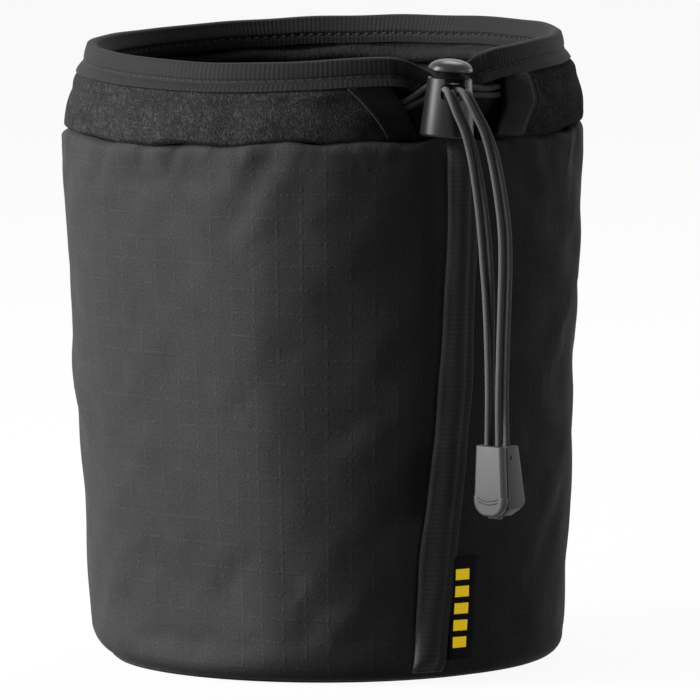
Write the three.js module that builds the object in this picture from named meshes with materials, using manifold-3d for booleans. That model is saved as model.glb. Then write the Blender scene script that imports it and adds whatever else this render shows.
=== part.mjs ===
// A padded drawstring pouch for a camera lens: a quilted wall and base, a soft collar that holds a
// cord channel, and an elastic drawcord with a spring lock and a clamshell cord end.
// Millimetres, +Z up. The notch and the lock face -Y, and the origin is the centre of the base.
// Angles round the pouch are counted from -Y towards +X, in degrees where they are sizes.
import * as THREE from "three";
import { mergeVertices } from "three/addons/utils/BufferGeometryUtils.js";
import Module from "manifold-3d";

// Clearance between pieces that are sewn or seated together
const GAP = 0.3;

// Body: outer form and the thickness of its layers
const BASE_RADIUS = 68;
const SEAM_RADIUS = 76;
const SEAM_HEIGHT = 155;
const WALL_BULGE = 0.6;
const EDGE_ROUND = 6.5;
const TOP_ROUND = 3;
const SHELL = 0.8;
const PADDING = 5;
const LINING = 1;

// Base: its layers lie flat, and the wall starts a little above the floor
const BASE_SHELL = 0.9;
const BASE_PADDING = 5;
const WALL_FOOT = 0.5;

// Collar: two layers of cloth that the drawcord pulls in at the rim
const COLLAR_HEIGHT = 25;
const RIM_TILT = 2;
const RIM_TILT_ANGLE = -69;
const RIM_DIP = 7;
const RIM_DIP_ANGLE = 4;
const RIM_DIP_LEFT = 9;
const RIM_DIP_RIGHT = 8.5;
const MOUTH_DRAW = 8.2;
const SEAM_TUCK = 1.1;
const COLLAR = 1.4;
const COLLAR_CURVE = 1.3;
const FACING = 1.2;
const FACING_LAP = 7;

// Notch in the collar's outer layer: a slanted bound edge on the left, a stepped hem on the right
const NOTCH_LEFT_FOOT = -6;
const NOTCH_LEFT_TOP = -12;
const NOTCH_RIGHT_FOOT = 13;
const NOTCH_RIGHT_TOP = 18;
const HEM_STEP_LOW = 0.45;
const HEM_STEP_HIGH = 0.6;
const NOTCH_MARGIN = 1;
const NOTCH_EASE = 5;

// Grosgrain tape: folded over the rim and the notch edge, and flat over the wall's seam
const TAPE = 0.7;
const FOLD_GAP = 0.45;
const BINDING_FACE = 8;
const NOTCH_FACE = 7.5;
const SEAM_TAPE_WIDTH = 9.2;
const SEAM_TAPE_FOOT = 2.8;
const SEAM_TAPE_ANGLE = -1.8;
const SEAM_TAPE_SWEEP = 6.3;
const SEAM_TAPE_BEND = 1.92;

// Woven label beside the seam tape
const LABEL = 0.6;
const LABEL_WIDTH = 8.6;
const LABEL_FOOT = 6.5;
const LABEL_HEIGHT = 29.5;

// Elastic drawcord: two strands run round the channel, and all four ends pass through the lock
const STRAND = 1.8;
const STRAND_PITCH = 2.1;
const STRAND_SIDES = 8;
const CHANNEL_RISE = 9.8;
const RING_SPREAD = 2.4;
const RING_START = 21;
const RING_END = -14;
const FEED_MOUTH_RIGHT = 14;
const FEED_MOUTH_LEFT = -8;
const FEED_MOUTH_STAND = 1.2;

// Cord lock: a tapered barrel, a sprung plunger with a cross slot, and a domed cap
const LOCK_STAND = 4.5;
const LOCK_ANGLE = -0.8;
const LOCK_TURN = -13;
const LOCK_LEAN = 3.4;
const LOCK_SEAT = 1.8;
const BARREL_HEIGHT = 16.6;
const BARREL_TOP_RADIUS = 6.3;
const BARREL_FOOT_RADIUS = 7.6;
const BARREL_WALL = 0.7;
const BARREL_FLOOR = 1.4;
const BARREL_EDGE = 0.9;
const HOLE_DEPTH = 2.9;
const PRESS = 1.7;
const STEM_FOOT = 5;
const GUIDE_THICK = 0.7;
const NECK_RADIUS = 3.9;
const NECK_HEIGHT = 1.2;
const CAP_RADIUS = 6.3;
const CAP_EDGE = 1.3;
const CAP_DOME = 2.2;
const SPRING_WIRE = 0.7;
const SPRING_RADIUS = 3.9;
const SPRING_TURNS = 5;
const EXIT_REACH = 7.5;
const FEED_APPROACH = 2;
const FEED_DROP = 1.8;

// Free tail of the cord, as steps from the lock's front: x, y, z and the gap between its two pairs
const TAIL_ROUTE = [
  [-0.45, -2.0, -0.4, 4.3],
  [-0.2, -4.2, -2.3, 4.6],
  [1.2, -5.8, -6.0, 5.0],
  [2.6, -6.3, -11.0, 5.4],
  [4.4, -6.3, -18.5, 5.7],
  [6.9, -5.9, -31.5, 6.0],
  [8.2, -5.5, -40.5, 6.1],
  [8.9, -5.2, -49.5, 5.7],
  [9.3, -4.9, -58.5, 5.1],
  [9.4, -4.8, -72.5, 4.5],
  [9.4, -4.7, -86.5, 4.2],
  [9.4, -4.7, -100.3, 4.2],
];
const TAIL_STEPS = 26;

// Cord end: two half shells that close over the knot and hinge at the bottom
const END_TURN = -68;
const END_LENGTH = 19.8;
const END_TOP_WIDTH = 9.8;
const END_FOOT_WIDTH = 11.4;
const END_COVER = 2.2;
const END_BODY_TOP = 5.2;
const END_BODY_FOOT = 7.6;
const END_CHAMFER = 3.6;
const END_ROUND = 4.5;
const END_SPLIT = 0.3;
const END_THROAT = 5.8;
const END_POCKET = 8;
const END_POCKET_DEPTH = 3.2;
const HINGE_TAB_WIDTH = 4.2;
const HINGE_TAB_DEPTH = 1.6;
const HINGE_TAB_DROP = 1;
const HINGE_DROP = 0.4;
const KNOT_WIDTH = 7.2;
const KNOT_DEPTH = 3.4;
const KNOT_HEIGHT = 6.4;

// Fineness of the facets: rings have closer steps across the front, where the rim dips
const FRONT_SPAN = 42;
const FRONT_STEPS = 28;
const BACK_STEPS = 30;
const DISC_STEPS = 48;
const LOCK_STEPS = 24;

const wasm = await Module();
wasm.setup();

const radians = THREE.MathUtils.degToRad;
const mix = THREE.MathUtils.lerp;
const smooth = THREE.MathUtils.smoothstep;
const flat = (x, y) => new THREE.Vector2(x, y);

// A point at an angle round the pouch, a radius from its axis and a height above the floor.
function around(angle, radius, height) {
  return new THREE.Vector3(radius * Math.sin(angle), -radius * Math.cos(angle), height);
}

function spread(count, make) {
  return Array.from({ length: count + 1 }, (_, i) => make(i / count));
}

// Turns the faces of a closed surface outwards.
function outward(geometry) {
  const index = geometry.index.array;
  const position = geometry.getAttribute("position");
  const corner = [0, 1, 2].map(() => new THREE.Vector3());
  let volume = 0;
  for (let i = 0; i < index.length; i += 3) {
    corner.forEach((point, k) => point.fromBufferAttribute(position, index[i + k]));
    volume += corner[0].dot(corner[1].clone().cross(corner[2]));
  }
  if (volume < 0) {
    for (let i = 0; i < index.length; i += 3) {
      [index[i + 1], index[i + 2]] = [index[i + 2], index[i + 1]];
    }
  }
  return geometry;
}

// Sweeps a flat outline along a path and closes it, end to end or with a cap at each end.
// A capped outline is two facing rows of points: out along one face and back along the other.
function loft(steps, outlineAt, place, endless) {
  const rows = endless ? steps : steps + 1;
  const outlines = Array.from({ length: rows }, (_, i) => outlineAt(i / steps));
  const points = outlines.flatMap((outline, i) => outline.map((point) => place(i / steps, point)));
  const count = outlines[0].length;
  const index = [];
  for (let i = 0; i < steps; i += 1) {
    const here = i * count;
    const next = ((i + 1) % rows) * count;
    for (let j = 0; j < count; j += 1) {
      const k = (j + 1) % count;
      index.push(here + j, next + j, next + k, here + j, next + k, here + k);
    }
  }
  const cap = (first, reversed) => {
    for (let j = 0; j < count / 2 - 1; j += 1) {
      const quad = [j, j + 1, count - 2 - j, count - 1 - j].map((k) => first + k);
      const [a, b, c, d] = reversed ? quad.reverse() : quad;
      index.push(a, b, c, a, c, d);
    }
  };
  if (!endless) {
    cap(0, false);
    cap(steps * count, true);
  }
  const geometry = new THREE.BufferGeometry();
  geometry.setFromPoints(points);
  geometry.setIndex(index);
  return outward(geometry);
}

// The angles, once round from the front, at which every ring has a section.
const front = radians(FRONT_SPAN);
const ringAngles = [
  ...spread(FRONT_STEPS, (t) => mix(-front, front, t)),
  ...spread(BACK_STEPS, (t) => mix(front, 2 * Math.PI - front, t)).slice(1, -1),
];

// A ring round the pouch whose section, [radius, height] points, may change with the angle.
function ring(sectionAt) {
  const steps = ringAngles.length;
  const angleOf = (t) => ringAngles[Math.round(t * steps)];
  const place = (t, point) => around(angleOf(t), point.x, point.y);
  return loft(steps, (t) => sectionAt(angleOf(t)), place, true);
}

function tube(curve, diameter, sides, steps) {
  const section = spread(sides, (t) => {
    const angle = t * 2 * Math.PI;
    return flat((Math.cos(angle) * diameter) / 2, (Math.sin(angle) * diameter) / 2);
  });
  const shape = new THREE.Shape(section.slice(0, sides));
  return new THREE.ExtrudeGeometry(shape, { steps, extrudePath: curve });
}

// A disc or lathed piece is drawn round Y, and stands up to turn round Z.
function lathe(profile) {
  const geometry = new THREE.LatheGeometry(profile, LOCK_STEPS);
  geometry.deleteAttribute("normal");
  geometry.deleteAttribute("uv");
  return outward(mergeVertices(geometry)).rotateX(Math.PI / 2);
}

function disc(radius, low, high) {
  const geometry = new THREE.CylinderGeometry(radius, radius, high - low, DISC_STEPS);
  return geometry.rotateX(Math.PI / 2).translate(0, 0, (low + high) / 2);
}

function box(low, high) {
  const size = high.map((value, i) => value - low[i]);
  const middle = high.map((value, i) => (value + low[i]) / 2);
  return new THREE.BoxGeometry(...size).translate(...middle);
}

function solid(geometry) {
  const bare = geometry.clone();
  bare.deleteAttribute("normal");
  bare.deleteAttribute("uv");
  const merged = mergeVertices(bare);
  const vertProperties = merged.getAttribute("position").array;
  const triVerts = new Uint32Array(merged.index.array);
  return new wasm.Manifold(new wasm.Mesh({ numProp: 3, vertProperties, triVerts }));
}

function surface(body) {
  const mesh = body.getMesh();
  const geometry = new THREE.BufferGeometry();
  geometry.setAttribute("position", new THREE.BufferAttribute(mesh.vertProperties, 3));
  geometry.setIndex(new THREE.BufferAttribute(mesh.triVerts, 1));
  return geometry;
}

const cut = (geometry, ...cutters) =>
  surface(cutters.reduce((body, cutter) => body.subtract(solid(cutter)), solid(geometry)));
const join = (geometry, added) => surface(solid(geometry).add(solid(added)));

const cloth = (color) => new THREE.MeshStandardMaterial({ color, roughness: 0.9, metalness: 0 });
const plastic = (color) => new THREE.MeshStandardMaterial({ color, roughness: 0.4, metalness: 0 });

const pouch = new THREE.Group();
const lock = new THREE.Group();
const cordEnd = new THREE.Group();

function add(group, name, geometry, material) {
  const mesh = new THREE.Mesh(geometry, material);
  mesh.name = name;
  group.add(mesh);
}

// Body wall
const roundTop = WALL_FOOT + EDGE_ROUND;
const shoulder = SEAM_HEIGHT - TOP_ROUND;
const paddingOuter = SHELL + GAP;
const paddingInner = paddingOuter + PADDING;
const liningOuter = paddingInner + GAP;
const liningInner = liningOuter + LINING;

function wallLine(z) {
  const t = z / SEAM_HEIGHT;
  return mix(BASE_RADIUS, SEAM_RADIUS, t) + WALL_BULGE * 4 * t * (1 - t);
}

const roundCentre = wallLine(roundTop) - EDGE_ROUND;
const shoulderCentre = wallLine(shoulder) - TOP_ROUND;
const layerTop = SEAM_HEIGHT - SHELL - GAP;

// The wall's outer radius at a height, with the rounding at the bottom.
function wallRadius(z) {
  const below = Math.max(roundTop - z, 0);
  return below > 0 ? roundCentre + Math.sqrt(EDGE_ROUND ** 2 - below ** 2) : wallLine(z);
}

function arc(x, y, radius, from, to, count) {
  return spread(count, (t) => {
    const angle = radians(mix(from, to, t));
    return flat(x + radius * Math.cos(angle), y + radius * Math.sin(angle));
  });
}

function levels(low, high, inset, count) {
  return spread(count, (t) => {
    const z = mix(low, high, t);
    return flat(wallLine(z) - inset, z);
  });
}

function shellFace(inset) {
  const foot = arc(roundCentre, roundTop, EDGE_ROUND - inset, -90, 0, 3);
  const side = levels(roundTop, shoulder, inset, 4).slice(1, -1);
  const top = arc(shoulderCentre, shoulder, TOP_ROUND - inset, 0, 90, 2);
  return [...foot, ...side, ...top];
}

const shellSection = [...shellFace(0), ...shellFace(SHELL).reverse()];

// The padding fills the wall's rounded foot, round the edge of the base.
const basePaddingTop = BASE_SHELL + GAP + BASE_PADDING;
const liningFoot = basePaddingTop + GAP;
const paddingSection = [
  ...arc(roundCentre, roundTop, EDGE_ROUND - paddingOuter, -90, 0, 3),
  ...levels(roundTop, shoulder, paddingOuter, 4).slice(1),
  flat(shoulderCentre, layerTop),
  ...levels(liningFoot, layerTop, paddingInner, 4).reverse(),
  flat(roundCentre, basePaddingTop),
];

const liningSection = [
  ...levels(liningFoot, layerTop, liningOuter, 4),
  ...levels(liningFoot, layerTop, liningInner, 4).reverse(),
];

add(pouch, "outer_wall", ring(() => shellSection), cloth(0x1b1c1e));
add(pouch, "wall_padding", ring(() => paddingSection), cloth(0x2a2a2a));
add(pouch, "wall_lining", ring(() => liningSection), cloth(0x17181a));

// Base
const baseRadius = roundCentre - GAP;
const baseLiningRadius = wallLine(liningFoot) - liningInner - GAP;
add(pouch, "base_outer", disc(baseRadius, 0, BASE_SHELL), cloth(0x1b1c1e));
add(pouch, "base_padding", disc(baseRadius, BASE_SHELL + GAP, basePaddingTop), cloth(0x2a2a2a));
add(pouch, "base_lining", disc(baseLiningRadius, liningFoot, liningFoot + LINING), cloth(0x17181a));

// Collar: its height dips at the notch, and its cloth leans in towards the rim
const collarFoot = SEAM_HEIGHT + GAP;
const rimHeight = SEAM_HEIGHT + COLLAR_HEIGHT;
const collarFootRadius = SEAM_RADIUS - SEAM_TUCK;
const collarTopRadius = SEAM_RADIUS - MOUTH_DRAW;
const facingFoot = SEAM_HEIGHT - FACING_LAP;
const facingFootRadius = wallLine(facingFoot) - liningInner - GAP;
const facingTopRadius = collarTopRadius - COLLAR - GAP;

// An angle from half a turn left of the front to half a turn right of it.
function signed(angle) {
  return THREE.MathUtils.euclideanModulo(angle + Math.PI, 2 * Math.PI) - Math.PI;
}

function rimTop(angle) {
  const turn = signed(angle - radians(RIM_DIP_ANGLE));
  const width = radians(turn < 0 ? RIM_DIP_LEFT : RIM_DIP_RIGHT);
  const dip = RIM_DIP * Math.exp(-((turn / width) ** 2));
  return rimHeight - RIM_TILT * Math.cos(angle - radians(RIM_TILT_ANGLE)) - dip;
}

const collarTop = (angle) => rimTop(angle) - TAPE - FOLD_GAP;
const bindingLow = (angle) => rimTop(angle) - BINDING_FACE;

// Heights on the collar: level 0 is its foot, 1 the binding's lower edge and 2 its top.
function collarHeight(angle, level) {
  const low = bindingLow(angle);
  return level <= 1 ? mix(collarFoot, low, level) : mix(low, collarTop(angle), level - 1);
}

function collarRadius(angle, z) {
  const share = (z - collarFoot) / (collarTop(angle) - collarFoot);
  const lean = Math.cos(Math.PI * THREE.MathUtils.clamp(share, 0, 1) ** COLLAR_CURVE);
  return mix(collarTopRadius, collarFootRadius, (1 + lean) / 2);
}

function facingRadius(angle, z) {
  const share = (z - facingFoot) / (collarTop(angle) - facingFoot);
  return mix(facingFootRadius, facingTopRadius, share);
}

const notchLeft = (level) => radians(mix(NOTCH_LEFT_FOOT, NOTCH_LEFT_TOP, Math.min(level, 1)));
const notchRight = (level) =>
  radians(mix(NOTCH_RIGHT_FOOT, NOTCH_RIGHT_TOP, smooth(level, HEM_STEP_LOW, HEM_STEP_HIGH)));

function collarOuter() {
  const steps = [0, HEM_STEP_LOW / 2, HEM_STEP_LOW, HEM_STEP_HIGH, 0.8, 1, 1.5, 2];
  const outside = steps.map((level) => flat(0, level));
  const inside = steps.map((level) => flat(-COLLAR, level)).reverse();
  const first = radians(NOTCH_RIGHT_TOP);
  const last = radians(NOTCH_LEFT_TOP) + 2 * Math.PI;
  const onward = ringAngles.map((angle) => (angle < 0 ? angle + 2 * Math.PI : angle));
  const between = onward.filter((angle) => angle > first && angle < last).sort((a, b) => a - b);
  const count = between.length + 1;
  const place = (t, point) => {
    const ends = { 0: notchRight(point.y), [count]: notchLeft(point.y) + 2 * Math.PI };
    const row = Math.round(t * count);
    const angle = ends[row] ?? between[row - 1];
    const z = collarHeight(angle, point.y);
    return around(angle, collarRadius(angle, z) + point.x, z);
  };
  return loft(count, () => [...outside, ...inside], place, false);
}

function facingSection(angle) {
  const outside = spread(3, (t) => {
    const z = mix(facingFoot, collarTop(angle), t);
    return flat(facingRadius(angle, z), z);
  });
  const inside = outside.map((point) => flat(point.x - FACING, point.y)).reverse();
  return [...outside, ...inside];
}

add(pouch, "collar_outer", collarOuter(), cloth(0x202123));
add(pouch, "collar_facing", ring(facingSection), cloth(0x17181a));

// Bindings: the rim tape lies on the collar, and on the facing alone across the notch
function rimCover(angle, z) {
  const degrees = THREE.MathUtils.radToDeg(signed(angle));
  const left = NOTCH_LEFT_TOP + NOTCH_MARGIN;
  const right = NOTCH_RIGHT_TOP - NOTCH_MARGIN;
  const past = smooth(degrees, left, left + NOTCH_EASE);
  const ahead = 1 - smooth(degrees, right - NOTCH_EASE, right);
  return mix(collarRadius(angle, z), facingRadius(angle, z), past * ahead);
}

function rimSection(angle) {
  const top = rimTop(angle);
  const fold = collarTop(angle) + FOLD_GAP;
  const heights = [collarHeight(angle, 1), collarHeight(angle, 1.5), fold];
  const outer = heights.map((z) => flat(rimCover(angle, z) + FOLD_GAP, z));
  const inner = heights.map((z) => flat(facingRadius(angle, z) - FACING - FOLD_GAP, z));
  const outside = outer.map((point) => flat(point.x + TAPE, point.y));
  const inside = inner.map((point) => flat(point.x - TAPE, point.y));
  outside[2].y = top;
  inside[2].y = top;
  return [...outside, ...inside.reverse(), ...inner, ...outer.reverse()];
}

function notchBinding() {
  const near = -GAP;
  const far = NOTCH_FACE;
  const back = -COLLAR - GAP;
  const section = [
    flat(far, GAP + TAPE),
    flat(near - TAPE, GAP + TAPE),
    flat(near - TAPE, back - TAPE),
    flat(far, back - TAPE),
    flat(far, back),
    flat(near, back),
    flat(near, GAP),
    flat(far, GAP),
  ];
  const end = GAP / (bindingLow(radians(NOTCH_LEFT_TOP)) - collarFoot);
  const place = (t, point) => {
    const level = mix(end, 1 - end, t);
    const start = notchLeft(level);
    const angle = start - point.x / collarRadius(start, collarHeight(start, level));
    const z = collarHeight(angle, level);
    return around(angle, collarRadius(angle, z) + point.y, z);
  };
  return loft(8, () => section, place, false);
}

add(pouch, "rim_binding", ring(rimSection), cloth(0x141517));
add(pouch, "notch_binding", notchBinding(), cloth(0x141517));

// Seam tape and label, laid on the wall
function seamAngle(z) {
  return radians(SEAM_TAPE_ANGLE + SEAM_TAPE_SWEEP * Math.sin((SEAM_TAPE_BEND * z) / SEAM_HEIGHT));
}

// Heights along the wall, closer together where its foot is rounded.
function wallHeights(low, high, roundCount, sideCount) {
  const start = Math.max(low, roundTop);
  const round = low < roundTop ? spread(roundCount, (t) => mix(low, roundTop, t)).slice(0, -1) : [];
  return [...round, ...spread(sideCount, (t) => mix(start, high, t))];
}

// A flat strip on the wall at a list of heights, from one distance beside the seam to another.
function wallStrip(heights, left, right, thick) {
  const across = [left, (left + right) / 2, right];
  const outside = across.map((x) => flat(x, GAP + thick));
  const inside = across.map((x) => flat(x, GAP)).reverse();
  const steps = heights.length - 1;
  const place = (t, point) => {
    const z = heights[Math.round(t * steps)];
    const radius = wallRadius(z);
    return around(seamAngle(z) + point.x / radius, radius + point.y, z);
  };
  return loft(steps, () => [...outside, ...inside], place, false);
}

const tapeHalf = SEAM_TAPE_WIDTH / 2;
const labelLeft = tapeHalf + GAP;
const labelTop = LABEL_FOOT + LABEL_HEIGHT;
const tapeHeights = wallHeights(SEAM_TAPE_FOOT, shoulder, 4, 14);
const labelHeights = wallHeights(LABEL_FOOT, labelTop, 2, 5);
const seamTape = wallStrip(tapeHeights, -tapeHalf, tapeHalf, TAPE);
const label = wallStrip(labelHeights, labelLeft, labelLeft + LABEL_WIDTH, LABEL);
add(pouch, "seam_tape", seamTape, cloth(0x151618));
add(pouch, "side_label", label, cloth(0x0d0d0f));

// Cord lock, in its own frame: the cord hole is the origin, and the cord leaves along -Y
const holeHeight = SEAM_HEIGHT + LOCK_SEAT + BARREL_HEIGHT - HOLE_DEPTH;
lock.position.copy(around(radians(LOCK_ANGLE), SEAM_RADIUS + LOCK_STAND, holeHeight));
lock.rotation.set(0, radians(LOCK_LEAN), radians(LOCK_TURN), "ZYX");
lock.updateMatrixWorld(true);
const inLock = (x, y, z) => lock.localToWorld(new THREE.Vector3(x, y, z));

const boreRadius = BARREL_TOP_RADIUS - BARREL_WALL;
const stemRadius = boreRadius - GAP;
const barrelTop = HOLE_DEPTH;
const barrelFoot = HOLE_DEPTH - BARREL_HEIGHT;
const barrelFloor = barrelFoot + BARREL_FLOOR;
const strandHalf = STRAND / 2;
const rowHalf = 1.5 * STRAND_PITCH + strandHalf + GAP;
const gripLow = -strandHalf - GAP;
const gripHigh = strandHalf + GAP;
const guideTop = gripHigh + PRESS + GUIDE_THICK;
const capFoot = guideTop + NECK_HEIGHT;
const throughLock = 2 * BARREL_FOOT_RADIUS;

const barrelProfile = [
  flat(0, barrelFoot),
  flat(BARREL_FOOT_RADIUS - BARREL_EDGE, barrelFoot),
  flat(BARREL_FOOT_RADIUS, barrelFoot + BARREL_EDGE),
  flat(BARREL_TOP_RADIUS, barrelTop),
  flat(boreRadius, barrelTop),
  flat(boreRadius, barrelFloor),
  flat(0, barrelFloor),
];
const barrelSlot = box([-rowHalf, -throughLock, gripLow - PRESS], [rowHalf, throughLock, gripHigh]);
add(lock, "lock_barrel", cut(lathe(barrelProfile), barrelSlot), plastic(0x1d1e20));

const capRim = capFoot + CAP_EDGE;
const dome = spread(4, (t) => {
  const angle = (t * Math.PI) / 2;
  return flat(CAP_RADIUS * Math.cos(angle), capRim + CAP_DOME * Math.sin(angle));
});
dome[dome.length - 1].x = 0;
const plungerProfile = [
  flat(0, -STEM_FOOT),
  flat(stemRadius, -STEM_FOOT),
  flat(stemRadius, guideTop),
  flat(NECK_RADIUS, guideTop),
  flat(NECK_RADIUS, capFoot),
  flat(CAP_RADIUS, capFoot),
  ...dome,
];
const plungerSlot = box([-rowHalf, -throughLock, gripLow], [rowHalf, throughLock, gripHigh + PRESS]);
add(lock, "lock_plunger", cut(lathe(plungerProfile), plungerSlot), plastic(0x1a1b1d));

// The spring's coils stand on the barrel's floor and carry the stem.
class Helix extends THREE.Curve {
  getPoint(t) {
    const angle = t * SPRING_TURNS * 2 * Math.PI;
    const low = barrelFloor + GAP + SPRING_WIRE / 2;
    const high = -STEM_FOOT - GAP - SPRING_WIRE / 2;
    const x = SPRING_RADIUS * Math.cos(angle);
    return new THREE.Vector3(x, SPRING_RADIUS * Math.sin(angle), mix(low, high, t));
  }
}
const springMetal = new THREE.MeshStandardMaterial({ color: 0x9a9da0, roughness: 0.35, metalness: 1 });
add(lock, "lock_spring", tube(new Helix(), SPRING_WIRE, 5, SPRING_TURNS * 8), springMetal);

// Drawcord in the channel: it lies against the facing, one strand above the other
const channelHeight = collarFoot + CHANNEL_RISE;

function ringPoint(angle, rise) {
  const z = channelHeight + rise;
  return around(angle, facingRadius(angle, z) + GAP + strandHalf, z);
}

class ChannelRing extends THREE.Curve {
  constructor(rise) {
    super();
    this.rise = rise;
  }

  getPoint(t) {
    const angle = mix(radians(RING_START), radians(RING_END) + 2 * Math.PI, t);
    return ringPoint(angle, this.rise);
  }
}

const elastic = () => cloth(0x222326);
const rises = { lower: -RING_SPREAD / 2, upper: RING_SPREAD / 2 };
for (const [name, rise] of Object.entries(rises)) {
  add(pouch, "drawcord_ring_" + name, tube(new ChannelRing(rise), STRAND, 6, 60), elastic());
}

// A feed strand comes out of the channel's mouth, turns in behind the lock and runs through it.
// The lower strand of a side passes below the upper one to reach its own place in the lock.
function feed(start, mouth, rise, slot) {
  const drop = rise < 0 ? FEED_DROP : 0;
  const side = Math.sign(mouth - start);
  const radius = facingTopRadius + STRAND;
  const first = radians(start) + (side * GAP) / radius;
  const middle = radians(mix(start, mouth, 0.5));
  const out = radians(mouth);
  const z = channelHeight + rise;
  const points = [
    ringPoint(first, rise),
    ringPoint(middle, rise),
    around(out, facingRadius(out, z) + GAP + strandHalf + FEED_MOUTH_STAND, z),
    inLock(slot, BARREL_FOOT_RADIUS + FEED_APPROACH, -drop),
    inLock(slot, BARREL_TOP_RADIUS, 0),
    inLock(slot, 0, 0),
    inLock(slot, -EXIT_REACH, 0),
  ];
  return tube(new THREE.CatmullRomCurve3(points), STRAND, STRAND_SIDES, 12);
}

const strands = [
  { name: "left_upper", start: RING_END, mouth: FEED_MOUTH_LEFT, rise: rises.upper },
  { name: "left_lower", start: RING_END, mouth: FEED_MOUTH_LEFT, rise: rises.lower },
  { name: "right_lower", start: RING_START, mouth: FEED_MOUTH_RIGHT, rise: rises.lower },
  { name: "right_upper", start: RING_START, mouth: FEED_MOUTH_RIGHT, rise: rises.upper },
];

// A tail strand hangs from the lock: its pair and its place in the pair set it beside the route.
function tail(k) {
  const exit = inLock(0, -EXIT_REACH - GAP, 0);
  const pair = k < 2 ? -0.5 : 0.5;
  const own = (k % 2 === 0 ? -0.5 : 0.5) * STRAND_PITCH;
  const points = [inLock((k - 1.5) * STRAND_PITCH, -EXIT_REACH - GAP, 0)];
  TAIL_ROUTE.forEach(([x, y, z, pairGap], i) => {
    const turn = radians(mix(LOCK_TURN, END_TURN, (i + 1) / TAIL_ROUTE.length));
    const aside = pair * pairGap + own;
    const beside = new THREE.Vector3(Math.cos(turn) * aside, Math.sin(turn) * aside, 0);
    points.push(beside.add(exit).add(new THREE.Vector3(x, y, z)));
  });
  const last = points[points.length - 1].clone();
  last.z -= END_THROAT;
  points.push(last);
  return tube(new THREE.CatmullRomCurve3(points), STRAND, STRAND_SIDES, TAIL_STEPS);
}

strands.forEach(({ name, start, mouth, rise }, k) => {
  const slot = (k - 1.5) * STRAND_PITCH;
  add(pouch, "drawcord_feed_" + name, feed(start, mouth, rise, slot), elastic());
  add(pouch, "drawcord_tail_" + name, tail(k), elastic());
});

// Cord end, in its own frame: the top of its parting plane is the origin, and the cover faces -Y
const [endX, endY, endZ] = TAIL_ROUTE[TAIL_ROUTE.length - 1];
cordEnd.position.copy(inLock(0, -EXIT_REACH - GAP, 0)).add(new THREE.Vector3(endX, endY, endZ));
cordEnd.rotation.z = radians(END_TURN);
const parting = END_SPLIT / 2;
const endFoot = -END_LENGTH;
const endHalf = (z) => mix(END_TOP_WIDTH, END_FOOT_WIDTH, z / endFoot) / 2;

function coverShape() {
  const shape = new THREE.Shape();
  const side = endFoot + END_ROUND;
  const low = endHalf(side);
  shape.moveTo(-endHalf(0), 0);
  shape.lineTo(-low, side);
  shape.absellipse(END_ROUND - low, side, END_ROUND, END_ROUND, Math.PI, 1.5 * Math.PI, false, 0);
  shape.absellipse(low - END_ROUND, side, END_ROUND, END_ROUND, 1.5 * Math.PI, 2 * Math.PI, false, 0);
  shape.lineTo(endHalf(0), 0);
  return shape;
}

// The cover's outline is drawn in X and Y and stands up, with its depth towards -Y.
function coverBlank() {
  const options = { depth: END_COVER, bevelEnabled: false, curveSegments: 6 };
  return new THREE.ExtrudeGeometry(coverShape(), options).rotateX(Math.PI / 2).translate(0, -parting, 0);
}

// The body's outline is drawn from the side: its foot is thicker than its top and chamfered.
function bodyBlank() {
  const front = [flat(parting, 0), flat(parting, endFoot + END_CHAMFER), flat(parting, endFoot)];
  const back = [
    flat(END_BODY_FOOT - END_CHAMFER, endFoot),
    flat(END_BODY_FOOT, endFoot + END_CHAMFER),
    flat(END_BODY_TOP, 0),
  ];
  const place = (t, point) => new THREE.Vector3(mix(-1, 1, t) * endHalf(point.y), point.x, point.y);
  return loft(1, () => [...front, ...back], place, false);
}

const throat = box([-rowHalf, gripLow, -END_THROAT - GAP], [rowHalf, gripHigh, 1]);
const pocketTop = -END_THROAT;
const pocketFoot = pocketTop - END_POCKET;
const pocketHalf = KNOT_WIDTH / 2 + GAP;
const pocket = box([-pocketHalf, gripLow, pocketFoot], [pocketHalf, END_POCKET_DEPTH, pocketTop]);
const tabHalf = HINGE_TAB_WIDTH / 2;
const hingeTab = box(
  [-tabHalf, parting, endFoot - HINGE_TAB_DROP],
  [tabHalf, parting + HINGE_TAB_DEPTH, endFoot + HINGE_DROP],
);
add(cordEnd, "cord_end_body", cut(join(bodyBlank(), hingeTab), throat, pocket), plastic(0x202124));
add(cordEnd, "cord_end_cover", cut(coverBlank(), throat, pocket), plastic(0x26272a));

// The four strands end in one knot that the shells hold.
const knot = new THREE.SphereGeometry(0.5, 10, 7).scale(KNOT_WIDTH, KNOT_DEPTH, KNOT_HEIGHT);
const knotDepth = (gripLow + END_POCKET_DEPTH) / 2;
const knotHeight = pocketTop - GAP - KNOT_HEIGHT / 2;
add(cordEnd, "drawcord_knot", knot.translate(0, knotDepth, knotHeight), elastic());

pouch.add(lock, cordEnd);

export default pouch;
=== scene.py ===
import math

import bmesh
import bpy
import numpy as np
from mathutils import Matrix, Vector


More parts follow.
